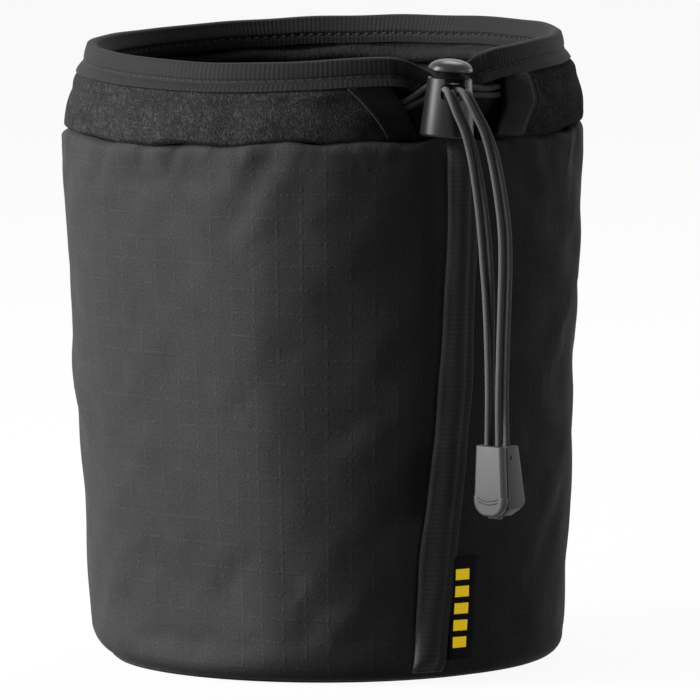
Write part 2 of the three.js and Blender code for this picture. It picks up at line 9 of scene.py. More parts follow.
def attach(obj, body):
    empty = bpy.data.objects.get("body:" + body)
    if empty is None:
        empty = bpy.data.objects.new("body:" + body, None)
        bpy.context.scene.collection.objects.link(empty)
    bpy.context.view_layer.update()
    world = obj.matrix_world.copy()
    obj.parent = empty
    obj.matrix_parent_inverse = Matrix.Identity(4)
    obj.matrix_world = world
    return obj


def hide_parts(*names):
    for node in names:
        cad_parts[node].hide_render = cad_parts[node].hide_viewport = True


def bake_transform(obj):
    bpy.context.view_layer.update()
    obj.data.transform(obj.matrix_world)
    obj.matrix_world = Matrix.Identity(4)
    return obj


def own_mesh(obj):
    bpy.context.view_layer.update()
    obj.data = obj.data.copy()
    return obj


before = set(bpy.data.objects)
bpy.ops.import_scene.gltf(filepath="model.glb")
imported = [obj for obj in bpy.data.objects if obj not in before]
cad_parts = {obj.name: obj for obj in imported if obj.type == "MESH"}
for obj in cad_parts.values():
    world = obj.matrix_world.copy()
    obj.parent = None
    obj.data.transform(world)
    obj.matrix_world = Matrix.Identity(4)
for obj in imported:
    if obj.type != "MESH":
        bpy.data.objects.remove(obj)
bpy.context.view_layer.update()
scene = bpy.context.scene

# Sizes are in millimetres and angles in degrees from -Y towards +X, as in the part's source.
MM = 0.001
GAP = 0.3

# Body
BASE_RADIUS = 68
SEAM_RADIUS = 76
SEAM_HEIGHT = 155
WALL_BULGE = 0.6
WALL_FOOT = 0.5
EDGE_ROUND = 6.5
TOP_ROUND = 3
SHELL = 0.8
PADDING = 5
LINING = 1
BASE_SHELL = 0.9
BASE_PADDING = 5

# Collar and rim
COLLAR_HEIGHT = 25
RIM_TILT = 2
RIM_TILT_ANGLE = -69
RIM_DIP = 7
RIM_DIP_ANGLE = 4
RIM_DIP_LEFT = 9
RIM_DIP_RIGHT = 8.5
MOUTH_DRAW = 8.2
SEAM_TUCK = 1.1
COLLAR = 1.4
COLLAR_CURVE = 1.3
FACING = 1.2
FACING_LAP = 7
NOTCH_LEFT_FOOT = -6
NOTCH_LEFT_TOP = -12
NOTCH_RIGHT_TOP = 18
NOTCH_MARGIN = 1
NOTCH_EASE = 5

# Tapes and label
TAPE = 0.7
FOLD_GAP = 0.45
BINDING_FACE = 8
NOTCH_FACE = 7.5
SEAM_TAPE_WIDTH = 9.2
SEAM_TAPE_FOOT = 2.8
SEAM_TAPE_ANGLE = -1.8
SEAM_TAPE_SWEEP = 6.3
SEAM_TAPE_BEND = 1.92
LABEL = 0.6
LABEL_WIDTH = 8.6
LABEL_FOOT = 6.5
LABEL_HEIGHT = 29.5

# Drawcord
STRAND = 1.8
STRAND_PITCH = 2.1
CHANNEL_RISE = 9.8
RING_SPREAD = 2.4
RING_START = 21
RING_END = -14
FEED_MOUTH_RIGHT = 14
FEED_MOUTH_LEFT = -8
FEED_MOUTH_STAND = 1.2

# Cord lock
LOCK_STAND = 4.5
LOCK_ANGLE = -0.8
LOCK_TURN = -13
LOCK_LEAN = 3.4
LOCK_SEAT = 1.8
BARREL_HEIGHT = 16.6
BARREL_TOP_RADIUS = 6.3
BARREL_FOOT_RADIUS = 7.6
BARREL_WALL = 0.7
BARREL_FLOOR = 1.4
BARREL_EDGE = 0.9
HOLE_DEPTH = 2.9
PRESS = 1.7
STEM_FOOT = 5
GUIDE_THICK = 0.7
NECK_RADIUS = 3.9
NECK_HEIGHT = 1.2
CAP_RADIUS = 6.3
CAP_EDGE = 1.3
CAP_DOME = 2.2
SPRING_WIRE = 0.7
SPRING_RADIUS = 3.9
SPRING_TURNS = 5
EXIT_REACH = 7.5
FEED_APPROACH = 2
FEED_DROP = 1.8

# Free tail of the cord, as steps from the lock's front: x, y, z and the gap between its two pairs
TAIL_ROUTE = [
    (-0.45, -2.0, -0.4, 4.3),
    (-0.2, -4.2, -2.3, 4.6),
    (1.2, -5.8, -6.0, 5.0),
    (2.6, -6.3, -11.0, 5.4),
    (4.4, -6.3, -18.5, 5.7),
    (6.9, -5.9, -31.5, 6.0),
    (8.2, -5.5, -40.5, 6.1),
    (8.9, -5.2, -49.5, 5.7),
    (9.3, -4.9, -58.5, 5.1),
    (9.4, -4.8, -72.5, 4.5),
    (9.4, -4.7, -86.5, 4.2),
    (9.4, -4.7, -100.3, 4.2),
]

# Cord end
END_TURN = -68
END_LENGTH = 19.8
END_TOP_WIDTH = 9.8
END_FOOT_WIDTH = 11.4
END_COVER = 2.2
END_BODY_TOP = 5.2
END_BODY_FOOT = 7.6
END_CHAMFER = 3.6
END_ROUND = 4.5
END_SPLIT = 0.3
END_THROAT = 5.8
END_POCKET = 8
END_POCKET_DEPTH = 3.2
HINGE_TAB_WIDTH = 4.2
HINGE_TAB_DEPTH = 1.6
HINGE_TAB_DROP = 1
HINGE_DROP = 0.4
KNOT_WIDTH = 7.2
KNOT_DEPTH = 3.4
KNOT_HEIGHT = 6.4


# Small mathematics

def mix(a, b, t):
    return a + (b - a) * t


def smooth(x, low, high):
    t = np.clip((np.asarray(x, float) - low) / (high - low), 0, 1)
    return t * t * (3 - 2 * t)


def bell(x, width):
    return np.exp(-((np.asarray(x, float) / width) ** 2))


def bumps(x, table):
    """Ridges and hollows, from rows of height, centre and width."""
    return sum(height * bell(x - centre, width) for height, centre, width in table)


def signed(angle):
    return (np.asarray(angle, float) + 180) % 360 - 180


def around(angle, start):
    """How far round the wall an angle lies from another."""
    return np.radians(signed(angle - start)) * SEAM_RADIUS


def polar(angle, radius, z):
    a = np.radians(angle)
    parts = np.broadcast_arrays(radius * np.sin(a), -radius * np.cos(a), z)
    return np.stack(parts, -1).astype(float)


def lattice(rows, columns):
    return np.meshgrid(rows, columns, indexing="ij")


def circle(count):
    return np.arange(count) * 2 * math.pi / count


def all_round(count):
    """Angles all round the pouch, evenly spaced."""
    return np.arange(count) * 360 / count


def unit(vectors):
    return vectors / np.linalg.norm(vectors, axis=-1, keepdims=True)


def spin(degrees):
    """A turn about the upright axis."""
    a = math.radians(degrees)
    return np.array([[math.cos(a), -math.sin(a), 0], [math.sin(a), math.cos(a), 0], [0, 0, 1]])


def waves(seed, count, low, high):
    """Smooth noise round the pouch and up it: a sum of random waves, each low to high times round."""
    rng = np.random.default_rng(seed)
    turns = rng.integers(low, high + 1, count)
    lift = rng.uniform(-1, 1, count) * high / SEAM_RADIUS
    phase = rng.uniform(0, 2 * math.pi, count)

    def at(angle, z=0.0):
        a = np.radians(np.asarray(angle, float))[..., None]
        total = np.cos(turns * a + lift * np.asarray(z, float)[..., None] + phase)
        return total.sum(-1) / math.sqrt(count)

    return at


def distances(points):
    """How far each point lies along its path."""
    return np.concatenate([[0], np.cumsum(np.linalg.norm(np.diff(points, axis=0), axis=1))])


def along(points, far, at):
    """The values at some distances along a path, where far holds the distance of each point."""
    return np.stack([np.interp(at, far, points[:, k]) for k in range(3)], -1)


def catmull(points, count):
    """Points along a centripetal Catmull-Rom curve, evenly spaced."""
    p = np.asarray(points, float)
    p = np.vstack([2 * p[0] - p[1], p, 2 * p[-1] - p[-2]])
    fine = []
    for i in range(len(p) - 3):
        quad = p[i:i + 4]
        chords = np.linalg.norm(np.diff(quad, axis=0), axis=1)
        t = np.concatenate([[0], np.cumsum(np.sqrt(chords))])
        at = np.linspace(t[1], t[2], num=24, endpoint=i == len(p) - 4)[:, None]
        level = [mix(quad[k], quad[k + 1], (at - t[k]) / (t[k + 1] - t[k])) for k in range(3)]
        level = [mix(level[k], level[k + 1], (at - t[k]) / (t[k + 2] - t[k])) for k in range(2)]
        fine.append(mix(level[0], level[1], (at - t[1]) / (t[2] - t[1])))
    fine = np.vstack(fine)
    far = distances(fine)
    return along(fine, far, np.linspace(0, far[-1], count))


def arc(x, y, radius, start, end, count):
    a = np.radians(np.linspace(start, end, count))
    return np.stack([x + radius * np.cos(a), y + radius * np.sin(a)], 1)


# Meshes

CLOTH_MAP = "cloth"
# Edges stay sharp above these angles, on each kind of piece
SHARP_TURNED = 40
SHARP_MOULDED = 35
SHARP_RING = 50
SHARP_STRIP = 60
# A direction that no tube starts along
ASKEW = [0.31, 0.17, 0.93]


def add_object(name, data):
    obj = bpy.data.objects.new(name, data)
    scene.collection.objects.link(obj)
    return obj


def from_bmesh(name, work):
    mesh = bpy.data.meshes.new(name)
    work.to_mesh(mesh)
    work.free()
    return add_object(name, mesh)


def finish_mesh(name, points, faces, uv=None, sharp=SHARP_RING):
    mesh = bpy.data.meshes.new(name)
    mesh.from_pydata((np.asarray(points) * MM).tolist(), [], [list(f) for f in faces])
    if uv is not None:
        layer = mesh.uv_layers.new(name=CLOTH_MAP)
        layer.uv.foreach_set("vector", np.asarray(uv, np.float32).ravel())
    obj = add_object(name, mesh)
    face_out(obj)
    soften(obj, sharp)
    return obj


def face_out(obj):
    work = bmesh.new()
    work.from_mesh(obj.data)
    bmesh.ops.recalc_face_normals(work, faces=work.faces)
    work.to_mesh(obj.data)
    work.free()


def soften(obj, sharp):
    obj.data.shade_smooth()
    obj.data.set_sharp_from_angle(angle=math.radians(sharp))


def grid(name, points, uv, ring=True, sharp=SHARP_RING):
    """Rows of closed outlines, joined end to end as a ring, or with a cap at each end.
    A capped outline is two facing rows of points: out along one face and back along the other."""
    rows, count = points.shape[:2]
    last = rows if ring else rows - 1
    r, c = lattice(np.arange(last), np.arange(count))
    corners = [(r, c), (r + 1, c), (r + 1, c + 1), (r, c + 1)]
    faces = np.stack([(i % rows) * count + j % count for i, j in corners], -1).reshape(-1, 4).tolist()
    uvs = np.stack([uv[i, j] for i, j in corners], 2).reshape(-1, 2)
    if not ring:
        j = np.arange(count // 2 - 1)
        quads = np.stack([j, j + 1, count - 2 - j, count - 1 - j], 1)
        for row in (0, rows - 1):
            faces += (quads + row * count).tolist()
            uvs = np.vstack([uvs, uv[row][quads].reshape(-1, 2)])
    return finish_mesh(name, points.reshape(-1, 3), faces, uvs, sharp)


def section_uv(points, run, ring=True):
    """The map of a swept outline: the distance along the sweep, and the distance round the outline."""
    closed = np.concatenate([points, points[:, :1]], 1)
    outline = np.cumsum(np.linalg.norm(np.diff(closed, axis=1), axis=2), 1)
    outline = np.concatenate([np.zeros((len(points), 1)), outline], 1)
    if ring:
        outline = np.concatenate([outline, outline[:1]])
    return np.stack([np.broadcast_to(run[:, None], outline.shape), outline], 2)


def strip(name, outside, inside, run):
    """A strip of cloth between its outer and its inner face."""
    points = np.concatenate([outside, inside[:, ::-1]], 1)
    return grid(name, points, section_uv(points, run, ring=False), ring=False, sharp=SHARP_STRIP)


def tube(name, path, diameter, sides):
    """A round tube with closed ends along a path."""
    path = np.asarray(path, float)
    tangent = unit(np.gradient(path, axis=0))
    side = np.cross(tangent[0], ASKEW)
    a = circle(sides)
    rings = []
    for point, t in zip(path, tangent):
        side = unit(side - t * (side @ t))
        outline = np.cos(a)[:, None] * side + np.sin(a)[:, None] * np.cross(t, side)
        rings.append(point + diameter / 2 * outline)
    uv = np.stack(np.broadcast_arrays(distances(path)[:, None], np.arange(sides + 1) / sides), 2)
    return grid(name, np.array(rings), uv, ring=False)


def lathe(name, profile, steps=72):
    """A turned piece whose profile, [radius, height] points, starts and ends on the axis."""
    inner = np.asarray(profile, float)[1:-1]
    a = circle(steps)
    ring = np.stack([inner[:, :1] * np.cos(a), inner[:, :1] * np.sin(a), inner[:, 1:] + 0 * a], 2)
    points = [(0, 0, profile[0][1]), *ring.reshape(-1, 3), (0, 0, profile[-1][1])]
    end = len(points) - 1
    top = 1 + (len(inner) - 1) * steps
    faces = []
    for k in range(steps):
        n = (k + 1) % steps
        faces.append((0, 1 + n, 1 + k))
        for low in range(1, top, steps):
            high = low + steps
            faces.append((low + k, low + n, high + n, high + k))
        faces.append((top + k, top + n, end))
    return finish_mesh(name, points, faces, sharp=SHARP_TURNED)


def block(low, high):
    """A plain box, used as a cutter or a blank."""
    low = np.array(low, float)
    high = np.array(high, float)
    work = bmesh.new()
    bmesh.ops.create_cube(work, size=1)
    for v in work.verts:
        v.co = Vector(((low + high) / 2 + np.array(v.co) * (high - low)) * MM)
    return from_bmesh("block", work)


def hull(name, points):
    """The smallest form without hollows round some points."""
    work = bmesh.new()
    for point in points:
        work.verts.new(Vector(point) * MM)
    made = bmesh.ops.convex_hull(work, input=work.verts)
    loose = [v for v in made["geom_interior"] if isinstance(v, bmesh.types.BMVert)]
    bmesh.ops.delete(work, geom=loose, context="VERTS")
    bmesh.ops.dissolve_limit(work, angle_limit=0.01, verts=work.verts, edges=work.edges)
    return from_bmesh(name, work)


def settle(obj):
    """Applies an object's modifiers to its mesh."""
    bpy.context.view_layer.update()
    made = bpy.data.meshes.new_from_object(obj.evaluated_get(bpy.context.evaluated_depsgraph_get()))
    old = obj.data
    obj.modifiers.clear()
    obj.data = made
    made.name = obj.name
    bpy.data.meshes.remove(old)


def combine(obj, other, operation):
    cutter = obj.modifiers.new("combine", "BOOLEAN")
    cutter.operation = operation
    cutter.solver = "EXACT"
    cutter.object = other
    settle(obj)
    bpy.data.objects.remove(other)


def cut(obj, *cutters):
    for cutter in cutters:
        combine(obj, cutter, "DIFFERENCE")


def bevel(obj, width, segments=3, angle=30):
    edge = obj.modifiers.new("bevel", "BEVEL")
    edge.width = width * MM
    edge.segments = segments
    edge.limit_method = "ANGLE"
    edge.angle_limit = math.radians(angle)
    settle(obj)


def seat(obj, turn, origin):
    """Moves a piece from its own frame to its place on the pouch."""
    rows = np.column_stack([turn, np.asarray(origin) * MM])
    obj.data.transform(Matrix([*rows.tolist(), [0, 0, 0, 1]]))
    obj.data.update()


# Shader nodes and materials

def connect(tree, value, socket):
    if isinstance(value, bpy.types.NodeSocket):
        tree.links.new(value, socket)
    else:
        socket.default_value = value


def add_node(tree, kind, inputs=(), **settings):
    """A new shader node with its settings, and with its inputs as numbers or as sockets to link from."""
    made = tree.nodes.new(kind)
    for name, value in settings.items():
        setattr(made, name, value)
    for name, value in dict(inputs).items():
        connect(tree, value, made.inputs[name])
    return made


def colors(sockets):
    return [socket for socket in sockets if socket.type == "RGBA"]


class Finish:
    """A material whose colour and relief come from procedural patterns."""

    def __init__(self, name, color, roughness, specular=0.5, sheen=0.0):
        self.material = bpy.data.materials.new(name)
        self.material.use_nodes = True
        self.tree = self.material.node_tree
        self.bsdf = self.tree.nodes["Principled BSDF"]
        self.color = (*color, 1)
        self.put("Base Color", self.color)
        self.put("Roughness", roughness)
        self.put("Specular IOR Level", specular)
        self.put("Sheen Weight", sheen)

    def put(self, name, value):
        connect(self.tree, value, self.bsdf.inputs[name])

    def node(self, kind, inputs=(), **settings):
        return add_node(self.tree, kind, inputs, **settings)

    def math(self, operation, *values):
        return self.node("ShaderNodeMath", dict(enumerate(values)), operation=operation).outputs[0]

    def add(self, a, b):
        return self.math("ADD", a, b)

    def times(self, a, b):
        return self.math("MULTIPLY", a, b)

    def zigzag(self, value):
        """Rises from 0 to a half and falls again over each whole unit."""
        return self.math("PINGPONG", value, 0.5)

    def off_middle(self, value):
        return self.math("ABSOLUTE", self.math("SUBTRACT", value, 0.5))

    def uv(self):
        uv = self.node("ShaderNodeUVMap", uv_map=CLOTH_MAP).outputs["UV"]
        split = self.node("ShaderNodeSeparateXYZ", {0: uv})
        return uv, split.outputs["X"], split.outputs["Y"]

    def place(self):
        return self.node("ShaderNodeTexCoord").outputs["Object"]

    def scaled(self, vector, scale):
        return self.node("ShaderNodeVectorMath", {0: vector, 1: scale}, operation="MULTIPLY").outputs[0]

    def noise(self, vector, scale, detail=2.0, distortion=0.0):
        inputs = {"Vector": vector, "Scale": scale, "Detail": detail, "Distortion": distortion}
        return self.node("ShaderNodeTexNoise", inputs).outputs["Fac"]

    def remap(self, value, low, high, start=0.0, end=1.0):
        inputs = {"Value": value, "From Min": low, "From Max": high, "To Min": start, "To Max": end}
        return self.node("ShaderNodeMapRange", inputs, interpolation_type="SMOOTHSTEP").outputs["Result"]

    def tint(self, factor, low, high):
        """The colour runs from low to high times the base colour as factor goes from 0 to 1."""
        made = self.node("ShaderNodeMix", {"Factor": factor}, data_type="RGBA")
        for share, socket in zip((low, high), colors(made.inputs)):
            socket.default_value = (*(c * share for c in self.color[:3]), 1)
        self.put("Base Color", colors(made.outputs)[0])

    def relief(self, height, depth):
        made = self.node("ShaderNodeBump", {"Strength": 1, "Distance": depth * MM, "Height": height})
        self.put("Normal", made.outputs["Normal"])


def grey(shade, blue=1.02):
    """A grey that leans a little towards blue."""
    return shade, shade, shade * blue


def ripstop():
    """Plain nylon with a grid of heavier threads; one unit of the map is one square of the grid."""
    f = Finish("ripstop_nylon", (0.047, 0.047, 0.048), roughness=0.5, specular=0.005)
    uv, u, v = f.uv()
    rows = []
    for across, stretch, scale in ((u, (1.0, 2.3, 1), 1.7), (v, (2.3, 1.0, 1), 1.9)):
        thread = f.remap(f.zigzag(across), low=0.03, high=0.085, start=1, end=0)
        broken = f.remap(f.noise(f.scaled(uv, stretch), scale), low=0.42, high=0.6)
        rows.append(f.times(thread, broken))
    lines = f.math("MAXIMUM", *rows)
    weave = f.noise(uv, scale=14, detail=1)
    soft = f.noise(uv, scale=0.9)
    uneven = f.add(f.remap(weave, low=0.25, high=0.75, start=-0.15, end=0.55), f.times(soft, 0.4))
    f.tint(f.add(f.times(lines, 0.17), uneven), low=0.75, high=1.3)
    f.relief(f.add(lines, f.times(weave, 0.9)), depth=0.058)
    return f.material


def pile():
    """Soft knit with curled loops."""
    f = Finish("soft_knit", (0.034, 0.034, 0.035), roughness=0.85, specular=0.01, sheen=0.02)
    uv, _, _ = f.uv()
    loops = f.noise(uv, scale=0.36, detail=1, distortion=1.6)
    small = f.noise(uv, scale=0.62, detail=1, distortion=1.2)
    curl = f.remap(f.off_middle(loops), low=0, high=0.085, start=1, end=0)
    fine = f.remap(f.off_middle(small), low=0, high=0.1, start=1, end=0)
    ridge = f.math("MAXIMUM", curl, f.times(fine, 0.6))
    patches = f.noise(uv, scale=0.25)
    f.tint(f.add(f.times(ridge, 0.6), f.times(patches, 0.4)), low=0.45, high=1.75)
    f.relief(f.add(ridge, f.noise(uv, scale=3.5)), depth=0.22)
    return f.material


def brushed():
    """Brushed lining with a short nap."""
    f = Finish("brushed_lining", (0.03, 0.03, 0.031), roughness=0.9, specular=0.01, sheen=0.02)
    where = f.place()
    nap = f.noise(where, scale=900, detail=4, distortion=0.6)
    lumps = f.noise(where, scale=120, detail=3)
    f.tint(f.times(nap, lumps), low=0.6, high=2.0)
    f.relief(f.add(nap, lumps), depth=0.5)
    return f.material


# How far in from its first edge a tape carries a painted highlight, paler colour for light that catches its
# folded edge, in millimetres
EDGE_HIGHLIGHT_WIDTH = 2.4


def grosgrain(name, shade, pitch=1.35, contrast=0.22, edge_highlight=0.0):
    """Ribbed tape: the ribs cross the tape, along the map's second direction.
    Its first edge may carry a painted highlight: paler colour for light that catches its fold."""
    f = Finish(name, grey(shade), roughness=0.6, specular=0.04)
    uv, u, v = f.uv()
    ribs = f.remap(f.zigzag(f.math("DIVIDE", u, pitch)), low=0, high=0.5)
    worn = f.remap(f.noise(uv, scale=0.12, detail=3), low=0.35, high=0.65, start=0.5, end=1)
    yarn = f.noise(f.scaled(uv, (0.8, 2.6, 1)), scale=1.2)
    seen = f.times(ribs, worn)
    pattern = f.add(f.times(seen, 0.5), f.times(yarn, 0.5))
    span = 2 * contrast + edge_highlight
    # Painted highlight: the colour grows paler towards the tape's first edge
    painted_edge_light = f.remap(v, low=0, high=EDGE_HIGHLIGHT_WIDTH, start=edge_highlight / span, end=0)
    darkest = 1 - contrast
    f.tint(f.add(f.times(pattern, 2 * contrast / span), painted_edge_light), low=darkest, high=darkest + span)
    f.relief(f.add(seen, yarn), depth=0.08)
    return f.material


def woven_label():
    f = Finish("woven_label", (0.008, 0.008, 0.009), roughness=0.6, specular=0.03)
    uv, *directions = f.uv()
    threads_per_mm = 2.4
    weave = f.times(*(f.zigzag(f.times(direction, threads_per_mm)) for direction in directions))
    f.tint(f.noise(uv, scale=0.8), low=0.8, high=1.3)
    f.relief(weave, depth=0.1)
    return f.material


def yellow_thread():
    f = Finish("yellow_thread", (0.98, 0.67, 0.02), roughness=0.6, specular=0.2)
    uv, u, _ = f.uv()
    rows_per_mm = 1.8
    f.tint(f.noise(uv, scale=2), low=0.9, high=1.02)
    # The thread glows a little, though it is no lamp: painted light that lifts the yellow where the label
    # lies in shade
    f.put("Emission Color", f.color)
    f.put("Emission Strength", 0.36)
    f.relief(f.zigzag(f.times(u, rows_per_mm)), depth=0.15)
    return f.material


def sewing_thread(name, shade):
    f = Finish(name, grey(shade), roughness=0.6, specular=0.1)
    f.relief(f.noise(f.place(), scale=1500), depth=0.08)
    return f.material


def braid():
    """Braided cover of the elastic: crossing yarns wind round the strand."""
    f = Finish("braided_elastic", (0.098, 0.098, 0.1), roughness=0.55, specular=0.05)
    _, u, v = f.uv()
    run = f.times(u, 1.1)
    turns = f.times(v, 4)
    left = f.zigzag(f.add(run, turns))
    right = f.zigzag(f.math("SUBTRACT", run, turns))
    yarns = f.math("MAXIMUM", left, right)
    f.tint(f.remap(yarns, low=0.15, high=0.5), low=0.75, high=1.2)
    f.relief(yarns, depth=0.14)
    return f.material


def moulded(name, shade, roughness, specular):
    f = Finish(name, grey(shade, blue=1.03), roughness, specular)
    f.relief(f.noise(f.place(), scale=2600), depth=0.03)
    return f.material


def wire():
    f = Finish("spring_wire", (0.6, 0.61, 0.62), roughness=0.3)
    f.put("Metallic", 1)
    f.relief(f.noise(f.place(), scale=1800), depth=0.02)
    return f.material


RIPSTOP = ripstop()
PILE = pile()
BRUSHED = brushed()
GROSGRAIN = grosgrain("grosgrain_tape", 0.026)
DARK_TAPE = grosgrain("notch_tape_weave", 0.013, pitch=0.9, contrast=0.6)
HEM_WEAVE = grosgrain("hem_tape_weave", 0.04, pitch=0.6, contrast=0.06)
# The seam tape's left edge carries a painted highlight
SEAM_WEAVE = grosgrain("seam_tape_weave", 0.042, edge_highlight=3.0)
LABEL_WEAVE = woven_label()
YELLOW = yellow_thread()
THREAD = sewing_thread("sewing_thread", 0.042)
DARK_THREAD = sewing_thread("dark_thread", 0.034)
BRAID = braid()
LOCK_PLASTIC = moulded("lock_plastic", 0.008, roughness=0.36, specular=0.25)
CAP_PLASTIC = moulded("lock_cap_plastic", 0.012, roughness=0.3, specular=0.32)
# Nearly black and dull, for the skin over the plunger's neck: painted shade under the cap
NECK_SHADE_PLASTIC = moulded("painted_neck_shade", 0.004, roughness=0.6, specular=0.05)
END_PLASTIC = moulded("cord_end_plastic", 0.056, roughness=0.46, specular=0.27)
WIRE = wire()


def dress(obj, material, body=None, nodes=()):
    obj.data.materials.clear()
    obj.data.materials.append(material)
    if nodes:
        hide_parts(*nodes)
    if body:
        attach(obj, body)
    return obj


def sewn(obj, material, nodes=()):
    return dress(obj, material, "pouch", nodes)


# Camera, floor and light, in metres; the camera's sensor in millimetres

AZIMUTH = -27
ELEVATION = 6.1
DISTANCE = 2.5
FRAME_WIDTH = 0.2041
AIM_RIGHT = 0.0076
AIM_UP = 0.0883
SENSOR_WIDTH = 36
FARTHEST = 50
# The lamps point at this height on the pouch's axis
LAMP_AIM = 0.09
# Name, angle round the pouch, angle above the floor, distance, width and height, power
LAMPS = [
    ("key", -104.5, 20, 1.6, (0.7, 1.3), 53),
    ("fill", -75, 20, 1.6, (0.6, 0.8), 4.4),
    ("back", 140, 58, 1.7, (0.8, 0.8), 11),
    ("side", 95, 6, 1.6, (0.6, 0.3), 2.4),
    ("low", 35, 4, 1.6, (0.8, 0.25), 2.6),
]
WHITE = (1, 1, 1, 1)
AMBIENT = 0.006
FLOOR_HALF = 8
FLOOR_DROP = 0.0002
# The floor's shade for light that falls on it, and as it is seen
FLOOR_SHADES = (0.05, 0.5)
FLOOR_ROUGHNESS = 0.9
FLOOR_GLOW = 1.06
FLOOR_GLOW_SHARE = 0.88


def towards(azimuth, elevation):
    """The direction from the pouch to a place at these angles round and above it."""
    a = math.radians(azimuth)
    e = math.radians(elevation)
    return Vector((math.sin(a) * math.cos(e), -math.cos(a) * math.cos(e), math.sin(e)))


view_right = Vector((math.cos(math.radians(AZIMUTH)), math.sin(math.radians(AZIMUTH)), 0))
view_back = towards(AZIMUTH, ELEVATION)
view_up = view_back.cross(view_right)


def point_back(obj, back):
    """Turns a camera or a lamp so that it looks against a direction."""
    obj.rotation_mode = "QUATERNION"
    obj.rotation_quaternion = (-back).to_track_quat("-Z", "Y")


def make_camera():
    data = bpy.data.cameras.new("camera")
    data.sensor_width = SENSOR_WIDTH
    data.lens = SENSOR_WIDTH * DISTANCE / FRAME_WIDTH
    data.clip_end = FARTHEST
    camera = add_object("camera", data)
    camera.location = view_right * AIM_RIGHT + view_up * AIM_UP + view_back * DISTANCE
    point_back(camera, view_back)
    scene.camera = camera


def make_lamp(name, azimuth, elevation, distance, size, power):
    data = bpy.data.lights.new(name, "AREA")
    data.shape = "RECTANGLE"
    data.size, data.size_y = size
    data.energy = power
    lamp = add_object(name, data)
    back = towards(azimuth, elevation)
    lamp.location = back * distance + Vector((0, 0, LAMP_AIM))
    point_back(lamp, back)


def seen_directly(tree):
    """1 for a ray from the camera, or reflected or bent towards it."""
    path = tree.nodes.new("ShaderNodeLightPath")
    total = path.outputs["Is Camera Ray"]
    for name in ("Is Glossy Ray", "Is Transmission Ray"):
        inputs = {0: total, 1: path.outputs[name]}
        total = add_node(tree, "ShaderNodeMath", inputs, operation="MAXIMUM").outputs[0]
    return total


def show(tree, output, share, first, second):
    """Gives the tree's output a mixture of two shaders."""
    inputs = {0: share, 1: first.outputs[0], 2: second.outputs[0]}
    mixture = add_node(tree, "ShaderNodeMixShader", inputs)
    tree.links.new(mixture.outputs[0], tree.nodes[output].inputs["Surface"])


def make_world():
    world = bpy.data.worlds.new("studio")
    world.use_nodes = True
    tree = world.node_tree
    light = tree.nodes["Background"]
    light.inputs["Color"].default_value = WHITE
    light.inputs["Strength"].default_value = AMBIENT
    white = add_node(tree, "ShaderNodeBackground", {"Color": WHITE, "Strength": 1})
    show(tree, "World Output", seen_directly(tree), light, white)
    scene.world = world


def make_floor():
    corners = [(-1, -1), (1, -1), (1, 1), (-1, 1)]
    mesh = bpy.data.meshes.new("floor")
    mesh.from_pydata([(x * FLOOR_HALF, y * FLOOR_HALF, 0) for x, y in corners], [], [(0, 1, 2, 3)])
    floor = add_object("floor", mesh)
    floor.location.z = -FLOOR_DROP
    material = bpy.data.materials.new("pale_floor")
    material.use_nodes = True
    tree = material.node_tree
    paint = tree.nodes["Principled BSDF"]
    paint.inputs["Roughness"].default_value = FLOOR_ROUGHNESS
    seen = seen_directly(tree)
    color = add_node(tree, "ShaderNodeMix", {"Factor": seen}, data_type="RGBA")
    for shade, socket in zip(FLOOR_SHADES, colors(color.inputs)):
        socket.default_value = (shade, shade, shade, 1)
    tree.links.new(colors(color.outputs)[0], paint.inputs["Base Color"])
    glow = add_node(tree, "ShaderNodeEmission", {"Strength": FLOOR_GLOW})
    share = add_node(tree, "ShaderNodeMath", {0: seen, 1: FLOOR_GLOW_SHARE}, operation="MULTIPLY")
    show(tree, "Material Output", share.outputs[0], paint, glow)
    mesh.materials.append(material)


make_camera()
make_world()
make_floor()
for lamp in LAMPS:
    make_lamp(*lamp)
scene.view_settings.view_transform = "Standard"


# Shared forms: the wall, the collar and the rim as the part's source has them

round_top = WALL_FOOT + EDGE_ROUND
shoulder = SEAM_HEIGHT - TOP_ROUND
padding_inner = SHELL + GAP + PADDING
lining_outer = padding_inner + GAP
lining_inner = lining_outer + LINING
layer_top = SEAM_HEIGHT - SHELL - GAP
base_padding_top = BASE_SHELL + GAP + BASE_PADDING
lining_foot = base_padding_top + GAP
collar_foot = SEAM_HEIGHT + GAP
rim_height = SEAM_HEIGHT + COLLAR_HEIGHT
strand_half = STRAND / 2
channel_height = collar_foot + CHANNEL_RISE


def wall_line(z):
    t = np.asarray(z, float) / SEAM_HEIGHT
    return mix(BASE_RADIUS, SEAM_RADIUS, t) + WALL_BULGE * 4 * t * (1 - t)


round_centre = float(wall_line(round_top)) - EDGE_ROUND
shoulder_centre = float(wall_line(shoulder)) - TOP_ROUND
collar_foot_radius = SEAM_RADIUS - SEAM_TUCK
collar_top_radius = SEAM_RADIUS - MOUTH_DRAW
facing_foot = SEAM_HEIGHT - FACING_LAP
facing_foot_radius = float(wall_line(facing_foot)) - lining_inner - GAP
facing_top_radius = collar_top_radius - COLLAR - GAP
base_lining_radius = float(wall_line(lining_foot)) - lining_inner - GAP

# The foot's rounding is fuller on one side of the soft pouch than on the other
FOOT_ROUND = 8.2
FOOT_ROUND_SPREAD = 2.0
FOOT_ROUND_ANGLE = -117


def edge_round(angle):
    turn = np.radians(np.asarray(angle, float) - FOOT_ROUND_ANGLE)
    return FOOT_ROUND + FOOT_ROUND_SPREAD * np.cos(turn)


def wall_radius(z, rounding=EDGE_ROUND):
    top = WALL_FOOT + rounding
    below = np.clip(top - np.asarray(z, float), 0, rounding)
    curved = wall_line(top) - rounding + np.sqrt(rounding**2 - below**2)
    return np.where(below > 0, curved, wall_line(z))


